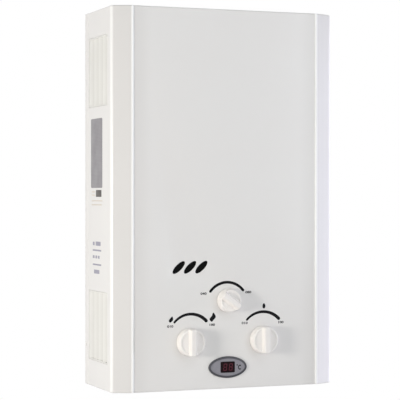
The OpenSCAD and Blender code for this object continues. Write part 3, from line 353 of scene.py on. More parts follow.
# Screen ink thinned to a pale violet grey, for the plain marks on the left wall
PALE_INK = Finish("baked_violet_grey_screen_ink", "#9A98A8", "#A8A6B4", 0.55, 0.06, Relief.CAST, 0.8, 0.004, 7.0,
                  worn="#B6B4C0", tint=0.35, specular=0.3)
# The same ink in a faint sand colour
SAND_INK = Finish("baked_sand_screen_ink", "#D6CCC0", "#DDD5CB", 0.55, 0.06, Relief.CAST, 0.8, 0.004, 7.0,
                  worn="#E2DCD4", tint=0.35, specular=0.3)
# Ruled foil: grey anodised aluminium with faint level lines, about 6 mm apart
RULED_FOIL = Finish("ruled_grey_anodised_foil", "#8F8C90", "#878488", 0.5, 0.06, Relief.RULED, 1.0, 0.01, 22.0,
                    worn="#ABA8AB", tint=0.35, metallic=0.15)
# Brushed foil: dark anodised aluminium, dull and streaky
DARK_FOIL = Finish("brushed_dark_anodised_foil", "#4E4A46", "#575350", 0.5, 0.06, Relief.DRAWN, 0.8, 0.006, 8.0,
                   worn="#6C6864", tint=0.2, metallic=0.2)
# Mica of the sight holes, drawn near black as painted shade of the unlit chamber behind it
MICA_AND_PAINTED_SHADE = Finish("split_mica_and_painted_shade", "#050505", "#090808", 0.5, 0.08, Relief.CAST, 4.0, 0.01, 9.0, specular=0.05)
# Hot-dipped zinc on steel sheet: flat crystals some 9 mm wide, each of its own grey
ZINC_SHEET = Finish("hot_dipped_zinc_on_steel", "#B4B8BB", "#A6ABAF", 0.42, 0.08, Relief.DIPPED, 9.0, 0.004, 40.0,
                    worn="#C9CDD0", tint=0.45, metallic=0.85, edge_mm=0.4, wear=0.5)
# Turned brass of the pipe fittings: fine rings from the lathe, brighter on the edges
BRASS = Finish("turned_brass", "#C7A45C", "#B58F4A", 0.36, 0.07, Relief.TURNED, 0.6, 0.012, 9.0, worn="#E2C987",
               tint=0.15, metallic=1.0, edge_mm=0.3, wear=0.6)
# Die-cast zinc alloy of the valves: dull grey with a grainy skin
CAST_ZINC = Finish("die_cast_zinc_alloy", "#9DA0A3", "#8C8F93", 0.5, 0.1, Relief.CAST, 1.8, 0.05, 14.0, worn="#C2C5C7",
                   tint=0.2, metallic=0.9, edge_mm=0.5, wear=0.5)
# Drawn steel of spindles, screws, levers and burner bars: grey metal with fine upright streaks
DRAWN_STEEL = Finish("drawn_mild_steel", "#93969A", "#82858A", 0.38, 0.08, Relief.DRAWN, 0.7, 0.008, 16.0,
                     worn="#BFC2C5", tint=0.2, metallic=1.0, edge_mm=0.3, wear=0.5)
# Drawn copper of the exchanger, coil and pipes: pink metal with brown heat patches
DRAWN_COPPER = Finish("drawn_copper_tube", "#C27C5A", "#9A5A40", 0.38, 0.09, Relief.DRAWN, 1.0, 0.01, 24.0,
                      worn="#DDA184", tint=0.15, metallic=1.0, edge_mm=0.3)
# Moulded rubber of seals, grommets and the diaphragm: matt black, greyer where it is rubbed
RUBBER = Finish("moulded_black_rubber", "#1F1F20", "#2A2A2B", 0.7, 0.08, Relief.MOULDED, 0.7, 0.02, 8.0,
                worn="#3A3A3B", edge_mm=0.3, specular=0.35)
# Moulded black plastic of the switch, leads and cut-out: satin black
BLACK_PBT = Finish("moulded_black_pbt", "#242426", "#2C2C2F", 0.45, 0.06, Relief.MOULDED, 0.8, 0.015, 10.0,
                   worn="#48484B", edge_mm=0.3)
# Glass-cloth board with green solder resist: a fine grain under a clear coat
BOARD = Finish("coated_glass_cloth_board", "#1F5A36", "#1A4F30", 0.35, 0.06, Relief.MOULDED, 0.9, 0.01, 9.0, coat=0.4)
# Glazed ceramic of the electrodes: creamy white and glossy
CERAMIC = Finish("glazed_alumina_ceramic", "#EDEAE0", "#E4DFD2", 0.2, 0.05, Relief.SPRAYED, 1.5, 0.01, 8.0)
# Trowelled plaster of the studio floor: pale and matt, with a faint mottle
PLASTER = Finish("trowelled_pale_plaster", "#F2F1EF", "#EFEEEC", 0.7, 0.05, Relief.CAST, 12.0, 0.02, 160.0,
                 specular=0.2)

SLOT_FINISH: dict[str, Finish] = {
    "white_enamel": ENAMEL, "zinc_sheet": ZINC_SHEET, "white_plastic": KNOB_ABS, "grille_plastic": GRILLE_PP,
    "grey_plastic": GREY_ABS, "smoked_lens": SMOKED_ACRYLIC, "sight_mica": MICA_AND_PAINTED_SHADE, "black_plastic": BLACK_PBT,
    "board": BOARD, "brass": BRASS, "cast_alloy": CAST_ZINC, "steel": DRAWN_STEEL, "copper": DRAWN_COPPER,
    "rubber": RUBBER, "ceramic": CERAMIC,
}


# Surfaces


@dataclass
class Skin:
    """Points and faces of one or more closed surfaces, in millimetres."""

    points: Points
    faces: list[Corners]

    def __add__(self, other: Skin) -> Skin:
        """Both surfaces as one."""
        return Skin(np.vstack([self.points, other.points]), self.faces + [f + len(self.points) for f in other.faces])

    def mesh(self, name: str) -> Mesh:
        """Writes the surface in metres, with doubles merged and every face outwards.

        Args:
            name: name of the mesh.

        Returns:
            The closed mesh.
        """
        made = bpy.data.meshes.new(name)
        made.from_pydata((self.points * MM).tolist(), [], [f for block in self.faces for f in block.tolist()])
        tidy = bmesh.new()
        tidy.from_mesh(made)
        bmesh.ops.remove_doubles(tidy, verts=tidy.verts, dist=MERGE)
        bmesh.ops.recalc_face_normals(tidy, faces=tidy.faces)
        tidy.to_mesh(made)
        tidy.free()
        return made


def cover_grid(points: Points, round_u: bool = False, round_v: bool = False, cap: bool = False) -> Skin:
    """Covers a grid of points with quads, each joining point (u, v) to its neighbours at u + 1 and v + 1.

    Args:
        points: grid of points, of shape (u, v, 3).
        round_u: joins the last row to the first.
        round_v: joins the last column to the first.
        cap: closes the first and the last row with a flat face.

    Returns:
        The covered surface.
    """
    rows, cols = points.shape[:2]
    n = np.arange(rows * cols).reshape(rows, cols)
    n = np.vstack([n, n[:1]]) if round_u else n
    n = np.hstack([n, n[:, :1]]) if round_v else n
    quads = np.stack([n[:-1, :-1], n[:-1, 1:], n[1:, 1:], n[1:, :-1]], -1).reshape(-1, 4)
    return Skin(points.reshape(-1, 3), [quads, n[:1, :cols], n[-1:, :cols]] if cap else [quads])


def tube(rings: Sequence[Points] | Points) -> Skin:
    """Closed rings joined one after the other, the first and the last closed by a flat face."""
    return cover_grid(np.array(rings), round_v=True, cap=True)


def hoop(rings: Sequence[Points]) -> Skin:
    """Closed rings joined one after the other, and the last to the first."""
    return cover_grid(np.array(rings), round_u=True, round_v=True)


def joined(skins: Sequence[Skin]) -> Skin:
    """Several surfaces as one."""
    return sum(skins[1:], skins[0])


def quarter(steps: int) -> Points:
    """Angles of a quarter circle, both ends included."""
    return np.linspace(0, np.pi / 2, steps)


def whole(steps: int) -> Points:
    """Angles of a circle, each once."""
    return np.linspace(0, 2 * np.pi, steps, endpoint=False)


def level(plan: Points, z: float) -> Points:
    """Plan of shape (n, 2) at one height."""
    return np.column_stack([plan, np.full(len(plan), z)])


def mirrored(x: Points, y: Points) -> Points:
    """Plan from the left to the right, of which x and y give the right half from its outer end."""
    return np.stack([np.r_[-x, x[::-1]], np.r_[y, y[::-1]]], -1)


def box(low: Sequence[float], high: Sequence[float]) -> Skin:
    """Box between two opposite corners, as a ring of four edges carried from the lower to the upper face.

    Args:
        low: lowest corner.
        high: highest corner.

    Returns:
        Its closed surface.
    """
    x0, y0, z0, x1, y1, z1 = *low, *high
    ring = np.array([[x0, y0], [x1, y0], [x1, y1], [x0, y1]], float)
    return tube([level(ring, z0), level(ring, z1)])


def round_box(half_w: Points | float, half_h: Points | float, r: Points | float, steps: int) -> Points:
    """Box with round corners: each quarter circle is moved out to its own corner.

    Args:
        half_w: half the width, or a column of them for as many outlines.
        half_h: half the height, likewise.
        r: radius of the corners, likewise.
        steps: points on each corner.

    Returns:
        Points with right and up in the last axis.
    """
    turn = np.concatenate([quarter(steps) + k * np.pi / 2 for k in range(4)])
    sign = np.repeat(np.array([[1, 1], [-1, 1], [-1, -1], [1, -1]]), steps, axis=0)
    return np.stack([sign[:, 0] * (half_w - r) + r * np.cos(turn), sign[:, 1] * (half_h - r) + r * np.sin(turn)], -1)


def oval(w: float, h: float, power: float = 2.0, steps: int = 160) -> Points:
    """Closed oval: half widths times cos and sin of the angle, each to the power 2 / power.

    Args:
        w: width.
        h: height.
        power: 2 for an ellipse, more for a rounded box, less for a pointed oval.
        steps: number of points.

    Returns:
        Points of shape (steps, 2).
    """
    c, s = np.cos(whole(steps)), np.sin(whole(steps))
    e = 2 / power
    return np.stack([w / 2 * np.sign(c) * np.abs(c) ** e, h / 2 * np.sign(s) * np.abs(s) ** e], -1)


def on_front(flat: Points, out: Points | float, at: Pair, face: float = PANEL_Y) -> Points:
    """Stands flat points on the front: right goes to x, up to z, and out of the panel to -y.

    Args:
        flat: right and up in the last axis.
        out: height in front of the panel.
        at: place of the origin on the panel, as x and z.
        face: distance from the wall to the panel.

    Returns:
        Points in the frame of the solids.
    """
    out = np.broadcast_to(out, flat.shape[:-1])
    return np.stack([flat[..., 0] + at[0], -face - out, flat[..., 1] + at[1]], -1)


def shown(name: str, data: bpy.types.ID) -> bpy.types.Object:
    """Puts a mesh, lamp or camera into the scene.

    Args:
        name: name of the object.
        data: what it shows.

    Returns:
        The new object, at the origin.
    """
    made = bpy.data.objects.new(name, data)
    bpy.context.scene.collection.objects.link(made)
    return made


def piece(name: str, shape: Skin | Mesh, finish: Finish, body: str = "case",
          stands_for: Sequence[str] = (), sharp: float = 32.0) -> None:
    """Makes an object of a surface, dresses it and puts it on its body.

    Args:
        name: name of the piece.
        shape: surface in millimetres, or a mesh in metres.
        finish: what it is made of.
        body: body that carries it.
        stands_for: nodes of the solids that it replaces.
        sharp: angle in degrees from which an edge stays sharp.
    """
    mesh = shape.mesh(name) if isinstance(shape, Skin) else shape
    mesh.polygons.foreach_set("use_smooth", np.ones(len(mesh.polygons), bool))
    mesh.set_sharp_from_angle(angle=math.radians(sharp))
    made = shown(name, mesh)
    mesh.materials.clear()
    mesh.materials.append(finish.material())
    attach(made, body)
    if stands_for:
        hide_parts(*stands_for)
    LOG.info("%s: %d faces, %s, on %s", name, len(mesh.polygons), finish.name, body)


def carved(name: str, solid: Skin, cutters: Sequence[Skin]) -> Mesh:
    """Takes cutters out of a solid one after the other with applied booleans.

    Args:
        name: name of the mesh.
        solid: what is cut.
        cutters: what comes out of it.

    Returns:
        The cut mesh in metres.
    """
    scratch = [shown(f"{name}_{i}", skin.mesh(f"{name}_{i}")) for i, skin in enumerate([solid, *cutters])]
    for cutter in scratch[1:]:
        step = scratch[0].modifiers.new("cut", "BOOLEAN")
        step.object, step.operation, step.solver = cutter, "DIFFERENCE", "EXACT"
    bpy.context.view_layer.update()
    mesh = bpy.data.meshes.new_from_object(scratch[0].evaluated_get(bpy.context.evaluated_depsgraph_get()))
    mesh.name = name
    for made in scratch:
        bpy.data.objects.remove(made)
    return mesh


# The casing


@dataclass
class CasingCover:
    """Folded and enamelled cover, with its returns, windows and holes.

    Bends run from the rear left to the rear right and are below 0 where they turn outwards. Guards are points beside
    them that keep the flats flat in the shading. A cutter goes in by its reach and stands out by its overcut.
    """

    height: float = 550.0
    depth: float = 139.0
    column_w: float = 29.5
    column_d: float = 13.0
    panel_inset: float = 2.0
    sheet: float = 1.0
    rear: float = 5.0
    return_w: float = 12.0
    return_shift: Pair = (0.17, 0.71)
    hem: float = 0.6
    hem_y: float = 17.4
    hem_step: float = 1.6
    bends: Row = (0.5, -0.5, 6.0, 3.0, -1.0, -1.0, 3.0, 6.0, -0.5, 0.5)
    bend_steps: int = 10
    least_r: float = 0.05
    guard: float = 0.15
    fold_r: float = 2.4
    fold_guard: float = 0.3
    overcut: float = 1.0
    reach: float = 2.0
    knob_hole: float = 14.0
    display_hole: Pair = (53.5, 25.4)
    door_notch: tuple[Row, ...] = ((93.0, -124.0, -1.0), (164.5, -79.0, 2.0))
    sight_x: Row = (-73.4, -56.0, -38.6)
    sight_z: float = 176.8
    sight: Pair = (24.4, 9.2)
    sight_slant: float = 43.0
    flare: float = 0.7

    def corners(self, rear: float) -> Points:
        """Sharp corners of the plan from the rear left to the rear right.

        Args:
            rear: distance from the wall to its open side.

        Returns:
            Points of shape (12, 2).
        """
        w, d, front = HALF_W, self.depth, HALF_W - self.column_w
        x = np.array([w + self.hem, w + self.hem, w, w, front, front - self.panel_inset])
        y = -np.array([rear, self.hem_y, self.hem_y + self.hem_step, d - self.column_d, d, d - self.panel_inset])
        return mirrored(x, y)

    def outline(self, inset: float, rear: float) -> Points:
        """Plan of the sheet moved inwards, with round bends.

        Each corner moves along the half-way direction of its two sides, and its bend is an arc whose centre lies there.

        Args:
            inset: how far the plan moves inwards.
            rear: distance from the wall to its open side.

        Returns:
            Points of shape (n, 2), from the rear left to the rear right.
        """
        c = self.corners(rear)
        along = np.diff(c, axis=0)
        along /= np.linalg.norm(along, axis=1, keepdims=True)
        left = np.stack([-along[:, 1], along[:, 0]], -1)
        both = left[:-1] + left[1:]
        m = c.copy()
        m[1:-1] += inset * both / (1 + np.sum(left[:-1] * left[1:], -1, keepdims=True))
        m[0, 0] += inset
        m[-1, 0] -= inset
        b = np.array(self.bends)
        r = np.where(b < 0, inset - b, np.maximum(b - inset, self.least_r))[:, None]
        u, v = -along[:-1], along[1:]
        half = np.arccos(np.sum(u * v, -1, keepdims=True)) / 2
        bisect = (u + v) / np.linalg.norm(u + v, axis=1, keepdims=True)
        mid, tangent = m[1:-1] + bisect * r / np.sin(half), r / np.tan(half)
        s, e = m[1:-1] + u * tangent - mid, m[1:-1] + v * tangent - mid
        w = np.linspace(0, 1, self.bend_steps)[None, :, None]
        arc = s[:, None] * (1 - w) + e[:, None] * w
        arc = mid[:, None] + r[:, None] * arc / np.linalg.norm(arc, axis=-1, keepdims=True)
        arcs = np.concatenate([arc[:, :1] + self.guard * u[:, None], arc, arc[:, -1:] + self.guard * v[:, None]], 1)
        return np.vstack([m[:1], arcs.reshape(-1, 2), m[-1:]])

    def shell(self) -> Skin:
        """Solid of the cover's outside: its plan carried upwards, drawn in by a quarter circle at both ends.

        Returns:
            Its closed surface.
        """
        a = quarter(7)
        ends, low = self.fold_r * (1 - np.sin(a)), self.fold_r * (1 - np.cos(a))
        flat = self.fold_r + self.fold_guard
        inset = np.r_[ends, 0, 0, ends[::-1]]
        z = np.r_[low, flat, self.height - flat, self.height - low[::-1]]
        return tube([level(self.outline(i, self.rear), h) for i, h in zip(inset, z)])

    def hollow(self) -> list[Skin]:
        """Space inside the sheet, and the opening inside its returns, both as plans carried upwards.

        Returns:
            Two closed surfaces.
        """
        inner = self.outline(self.sheet, -self.overcut)
        r, (shift_x, shift_y), edge = self.return_w, self.return_shift, HALF_W - self.return_w
        x = np.array([edge, edge, HALF_W - self.column_w - self.panel_inset - shift_x * r])
        y = np.array([self.overcut, shift_y * r + self.column_d - self.depth, r - (self.depth - self.panel_inset)])
        hole = mirrored(x, y)
        return [tube([level(inner, z) for z in (self.sheet, self.height - self.sheet)]),
                tube([level(hole, z) for z in (-self.overcut, self.height + self.overcut)])]

    def openings(self) -> Skin:
        """Windows of the grilles, the battery door's notch, and the holes in the panel.

        A sight hole is an oval carried inwards. Its front is flared by a quarter circle, as a punch draws it.

        Returns:
            All cutters as one surface.
        """
        made = [box(*self.door_notch)]
        for z in GRILLE_Z.values():
            for x in (-HALF_W, HALF_W):
                made.append(box((x - self.reach, -GRILLE_REAR - GRILLE_W, z),
                                (x + self.reach, -GRILLE_REAR, z + GRILLE_H)))
        knob, display = oval(self.knob_hole, self.knob_hole, steps=48), oval(*self.display_hole, steps=72)
        for ring, at in ((knob, GAS_AT), (knob, WATER_AT), (knob, SEASON_AT), (display, DISPLAY_AT)):
            made.append(tube([on_front(ring, out, at) for out in (-self.reach, self.overcut)]))
        a = quarter(6)
        grow = np.r_[0, self.flare * (1 - np.cos(a)), self.flare]
        out = np.r_[-self.reach, self.flare * (np.sin(a) - 1), self.overcut]
        t = math.radians(self.sight_slant)
        turn = np.array([[math.cos(t), math.sin(t)], [-math.sin(t), math.cos(t)]])
        w, h = self.sight
        rings = [oval(w + 2 * g, h + 2 * g, steps=64) @ turn for g in grow]
        for x in self.sight_x:
            made.append(tube([on_front(ring, o, (x, self.sight_z)) for ring, o in zip(rings, out)]))
        return joined(made)

    def build(self) -> None:
        """Cuts the cover out of its shell and enamels it."""
        mesh = carved("front_cover_sheet", self.shell(), [*self.hollow(), self.openings()])
        piece("front_cover_sheet", mesh, ENAMEL, stands_for=["front_cover"], sharp=24.0)


@dataclass
class CoverScrews:
    """Pan-head screws with a cross recess, two in each side of the cover.

    The dome goes out to a share of the head's radius, and the brim is a share of its height. An arm of the cross has
    half a length and half a width, and fades over a share of them.
    """

    head_r: float = 3.2
    head_h: float = 1.6
    dome: float = 0.98
    crown: float = 0.72
    brim: float = 0.45
    shank_r: float = 1.5
    length: float = 4.3
    arm: Pair = (1.9, 0.45)
    arm_end: Pair = (1.15, 0.3)
    recess: float = 0.8
    y: float = -10.5
    z: Row = (60.0, 490.0)
    steps: int = 26

    def one(self, side: Side, z: float) -> Skin:
        """One screw: a dome less a cross whose arms fade at their ends, carried on to its shank.

        Args:
            side: wall that it is in.
            z: height of the screw.

        Returns:
            Its closed surface.
        """
        n, a = self.steps, whole(96)[None, :]
        dome_r = np.linspace(0, self.dome, n) * self.head_r
        r = np.r_[dome_r, self.head_r, self.head_r, self.shank_r, self.shank_r, 0.0]
        dome = self.head_h * np.sqrt(1 - self.crown * (dome_r / self.head_r) ** 2)
        h = np.r_[dome, self.brim * self.head_h, 0.0, 0.0, -self.length, -self.length][:, None]
        u, v = r[:, None] * np.cos(a), r[:, None] * np.sin(a)
        p, q = np.abs(u), np.abs(v)
        tip, half = self.arm
        arm = np.minimum(np.maximum(p / tip, q / half), np.maximum(q / tip, p / half))
        end, fade = self.arm_end
        cut = self.recess * np.clip((end - arm) / fade, 0, 1) * (np.arange(len(r)) < n)[:, None]
        x = side.value * (HALF_W + h - cut)
        return tube(np.stack(np.broadcast_arrays(x, self.y + u, z + v), -1))

    def build(self) -> None:
        """Makes the four screws as one piece."""
        made = joined([self.one(side, z) for side in Side for z in self.z])
        piece("cover_screw_set", made, ENAMEL, stands_for=["cover_screws"])


@dataclass
class SideGrille:
    """Moulded air grille let into a side wall, with upright slanted blades.

    Attributes:
        edge: rounding of the frame's front, as depth behind the wall's outside and distance from the frame's side.
        lip_depth: rear and front of the lip behind the wall.
        reach: share of the pitch that a blade takes.
    """

    node: str
    side: Side
    low_z: float
    depth: float = 6.5
    wall: float = 2.0
    slip: float = 0.3
    edge: tuple[Pair, ...] = ((0.8, 0.0), (0.35, 0.12), (0.2, 0.5))
    lip: float = 3.0
    lip_depth: Pair = (3.0, 1.02)
    corner_r: float = 1.0
    least_r: float = 0.2
    blades: int = 4
    blade_t: float = 1.4
    blade_inset: float = 0.25
    sag: float = 0.25
    straight: float = 0.93
    reach: float = 0.95
    last_reach: float = 0.99
    bite: float = 0.3

    def frame_skin(self) -> Skin:
        """Frame: a section with a lip, carried round a box of four mitred corners, each with a small round.

        Returns:
            Its closed surface.
        """
        outer, inner = -self.slip, -self.slip - self.wall
        deep, off = np.array(self.edge).T
        rear, front = self.lip_depth
        section = np.vstack([
            np.stack([-deep, outer - off], -1), np.stack([-deep, inner + off], -1)[::-1],
            [[-self.depth, inner], [-self.depth, outer], [-rear, outer], [-rear, self.lip], [-front, self.lip],
             [-front, outer]]])
        grow = section[:, 1:]
        r = np.maximum(self.corner_r + grow - outer, self.least_r)
        ring = round_box(GRILLE_W / 2 + grow, GRILLE_H / 2 + grow, r, 5)
        x = np.broadcast_to(section[:, :1], ring.shape[:2])
        return self.placed(np.stack([x, ring[..., 0], ring[..., 1]], -1), round_u=True)

    def placed(self, p: Points, round_u: bool = False, cap: bool = False) -> Skin:
        """Puts a grid into its side wall.

        Args:
            p: grid of points from the middle of the window, outwards from the wall first.
            round_u: joins the last row to the first.
            cap: closes the first and the last row.

        Returns:
            The covered surface.
        """
        y, z = p[..., 1] - GRILLE_REAR - GRILLE_W / 2, p[..., 2] + self.low_z + GRILLE_H / 2
        at = np.stack([self.side.value * (HALF_W + p[..., 0]), y, z], -1)
        return cover_grid(at, round_u=round_u, round_v=True, cap=cap)

    def blade(self, i: int) -> Skin:
        """Blade: a slanted section from the inside at the front to the outside at the rear, with a round outer end.

        Its middle line rises as s less a quarter of s times 1 - s, so it is slightly hollow. Half the thickness goes to
        either side of that line, and at the outer end it falls as in a circle.

        Args:
            i: number of the blade, from the front.

        Returns:
            Its closed surface, carried up the height of the frame.
        """
        clear_w = GRILLE_W - 2 * (self.slip + self.wall)
        pitch = clear_w / self.blades
        t, nose = self.blade_t / 2, 1 - self.straight
        s = np.r_[np.linspace(0, self.straight, 16), 1 - nose * (1 - np.sin(quarter(8)))]
        reach = self.reach if i + 1 < self.blades else self.last_reach
        y = -clear_w / 2 + i * pitch + s * reach * pitch
        x = -self.depth + t + (self.depth - self.blade_inset - 2 * t) * (s - self.sag * s * (1 - s))
        half_t = t * np.sqrt(np.clip(1 - (np.clip(s - self.straight, 0, 1) / nose) ** 2, 0, 1))
        outline = np.stack([np.r_[x + half_t, (x - half_t)[::-1]], np.r_[y, y[::-1]]], -1)
        half = GRILLE_H / 2 - self.slip - self.wall + self.bite
        return self.placed(np.array([level(outline, z) for z in (-half, half)]), cap=True)

    def build(self) -> None:
        """Makes the frame and its blades as one moulding."""
        made = joined([self.frame_skin(), *(self.blade(i) for i in range(self.blades))])
        piece(self.node + "_moulding", made, GRILLE_PP, stands_for=[self.node], sharp=28.0)


@dataclass
class WallPlates:
    """Bare foil plates and plain printed bars on the outside of the left wall.

    Each tile is given by its edges, as y from and to and z from and to, and by its thickness and corner radius.
    """

    foil: Row = (-87.0, -33.0, 291.0, 392.0)
    square: Row = (-83.0, -57.0, 278.0, 288.0)
    bars: tuple[Row, ...] = (
        (-79.0, -55.0, 206.9, 213.0), (-50.0, -41.0, 207.2, 212.4), (-82.0, -41.0, 199.0, 201.4),
        (-50.0, -41.0, 188.4, 192.6), (-62.0, -54.0, 188.4, 192.6), (-74.0, -66.0, 188.4, 192.6),
        (-82.0, -41.0, 178.2, 180.6), (-73.0, -47.0, 166.2, 172.0))
    faint: tuple[Row, ...] = (
        (-53.0, -36.0, 284.4, 286.2), (-53.0, -36.0, 279.6, 281.4), (-88.0, -36.0, 271.4, 273.2),
        (-84.0, -36.0, 265.6, 267.4))
    foil_form: Pair = (0.3, 2.5)
    square_form: Pair = (0.25, 1.0)
    ink_form: Pair = (0.08, 0.8)
    shoulder: float = 0.6

    def tile(self, area: Row, thick: float, corner: float) -> Skin:
        """Flat tile on the wall: a box with round corners, carried outwards and drawn in at its outer edge.

        Args:
            area: its edges, as y from and to, z from and to.
            thick: how far it stands out of the wall.
            corner: radius of its corners.

        Returns:
            Its closed surface.
        """
        y0, y1, z0, z1 = area
        mid = np.array([(y0 + y1) / 2, (z0 + z1) / 2])
        ring = mid + round_box((y1 - y0) / 2, (z1 - z0) / 2, corner, 6)
        inner = mid + (ring - mid) * (1 - thick / (ring.max(0) - mid))
        steps = ((-SUNK, ring), (self.shoulder * thick, ring), (thick, inner))
        return tube([np.column_stack([np.full(len(r), -HALF_W - out), r]) for out, r in steps])

    def build(self) -> None:
        """Makes the plates and the bars."""
        piece("side_foil_plate", self.tile(self.foil, *self.foil_form), RULED_FOIL)
        piece("side_dark_foil", self.tile(self.square, *self.square_form), DARK_FOIL)
        for name, areas, ink in (("side_printed_bars", self.bars, PALE_INK), ("side_faint_bars", self.faint, SAND_INK)):
            piece(name, joined([self.tile(area, *self.ink_form) for area in areas]), ink)


# The front


@dataclass(frozen=True)
class PrintedArc:
    """One printed arc round a knob, with its width at both ends."""

    x: float
    z: float
    r: float
    start: float
    end: float
    width: Pair


@dataclass(frozen=True)
class PrintedTongue:
    """One printed flame or drop: its tip curls by bend and is finer as fine grows, and it leans by degrees."""

    x: float
    z: float
    w: float
    h: float
    bend: float
    lean: float
    fine: float


@dataclass
class FrontPrint:
    """Scales printed on the panel: arcs, a small and a large flame, a drop, and plain numbers."""

    thick: float = 0.08
    arcs: tuple[PrintedArc, ...] = (
        PrintedArc(0.9, 121.6, 32.6, 146.0, 36.0, (4.0, 4.0)),
        PrintedArc(-55.4, 76.6, 33.0, 141.4, 39.4, (3.2, 5.0)),
        PrintedArc(57.7, 75.0, 35.0, 139.3, 40.5, (3.2, 5.0)))
    tongues: tuple[PrintedTongue, ...] = (
        PrintedTongue(-85.2, 102.6, 5.8, 9.4, 0.8, 26.0, 0.45),
        PrintedTongue(-21.2, 104.2, 7.8, 13.4, 2.2, 16.0, 0.4),
        PrintedTongue(59.2, 118.6, 5.0, 7.8, 0.0, 0.0, 0.3))
    numbers: tuple[tuple[str, float, float], ...] = (
        ("040", -35.6, 138.4), ("080", 34.4, 139.0), ("010", -86.7, 92.6), ("100", -22.6, 93.2), ("010", 28.6, 94.2),
        ("100", 85.9, 93.7))
    end_least: float = 0.04
    curl_waves: float = 1.1
    curl_start: float = 0.1
    number_size: float = 4.62
    number_wide: float = 1.35
    number_bold: float = 0.14

    def arc(self, a: PrintedArc) -> Skin:
        """Arc: a flat section carried along a circle, its width growing evenly from one end to the other.

        Args:
            a: place, angles and widths of the arc.

        Returns:
            Its closed surface.
        """
        t = np.linspace(0, 1, 64)[:, None]
        angle = np.radians(a.start + (a.end - a.start) * t)
        half = (a.width[0] + (a.width[1] - a.width[0]) * t) / 2
        # The ends are round: near them the half width falls as in a circle
        ends = np.minimum(t, 1 - t) * np.radians(abs(a.end - a.start)) * a.r / half
        half = half * np.sqrt(np.clip(1 - np.clip(1 - ends, 0, 1) ** 2, self.end_least, 1))
        r = a.r + half * np.array([[-1, 1, 1, -1]])
        out = np.broadcast_to(np.array([[-SUNK, -SUNK, self.thick, self.thick]]), r.shape)
        return tube(on_front(np.stack([r * np.cos(angle), r * np.sin(angle)], -1), out, (a.x, a.z)))

    def tongue(self, m: PrintedTongue) -> Skin:
        """Flame or drop: sin of the angle times a power of the sine of its half, on a bent and leaning middle line.

        Args:
            m: place, size and form of the mark.

        Returns:
            Its closed surface.
        """
        t = whole(56)
        up = np.cos(t) / 2
        curl = 0.5 * m.bend * np.sin(2 * np.pi * self.curl_waves * (up + self.curl_start))
        right = 0.5 * np.sin(t) * np.sin(t / 2) ** m.fine * m.w + curl
        up = up * m.h
        c, s = math.cos(math.radians(m.lean)), math.sin(math.radians(m.lean))
        flat = np.stack([right * c + up * s, up * c - right * s], -1)
        return tube([on_front(flat, out, (m.x, m.z)) for out in (-SUNK, self.thick)])

    def number(self, text: str, x: float, z: float) -> Mesh:
        """Plain number as a thin mesh, stood on the panel.

        Args:
            text: the number.
            x: place of its middle.
            z: height of its middle.

        Returns:
            Mesh in metres.
        """
        half_t = (self.thick + SUNK) / 2
        curve = bpy.data.curves.new("number", "FONT")
        curve.body, curve.size, curve.extrude = text, self.number_size * MM, half_t * MM
        curve.align_x, curve.align_y, curve.resolution_u = "CENTER", "CENTER", 4
        curve.offset = self.number_bold * MM
        made = bpy.data.objects.new("number", curve)
        mesh = bpy.data.meshes.new_from_object(made)
        stand = Matrix.Rotation(math.pi / 2, 4, "X") @ Matrix.Diagonal((self.number_wide, 1.0, 1.0, 1.0))
        mesh.transform(Matrix.Translation((x * MM, (SUNK - half_t - PANEL_Y) * MM, z * MM)) @ stand)
        bpy.data.objects.remove(made)
        return mesh

    def build(self) -> None:
        """Prints the arcs, the marks and the numbers."""
        piece("printed_arcs", joined([self.arc(a) for a in self.arcs]), INK)
        piece("printed_marks", joined([self.tongue(m) for m in self.tongues]), INK)
        for i, number in enumerate(self.numbers):
            piece(f"printed_number_{i + 1}", self.number(*number), INK)


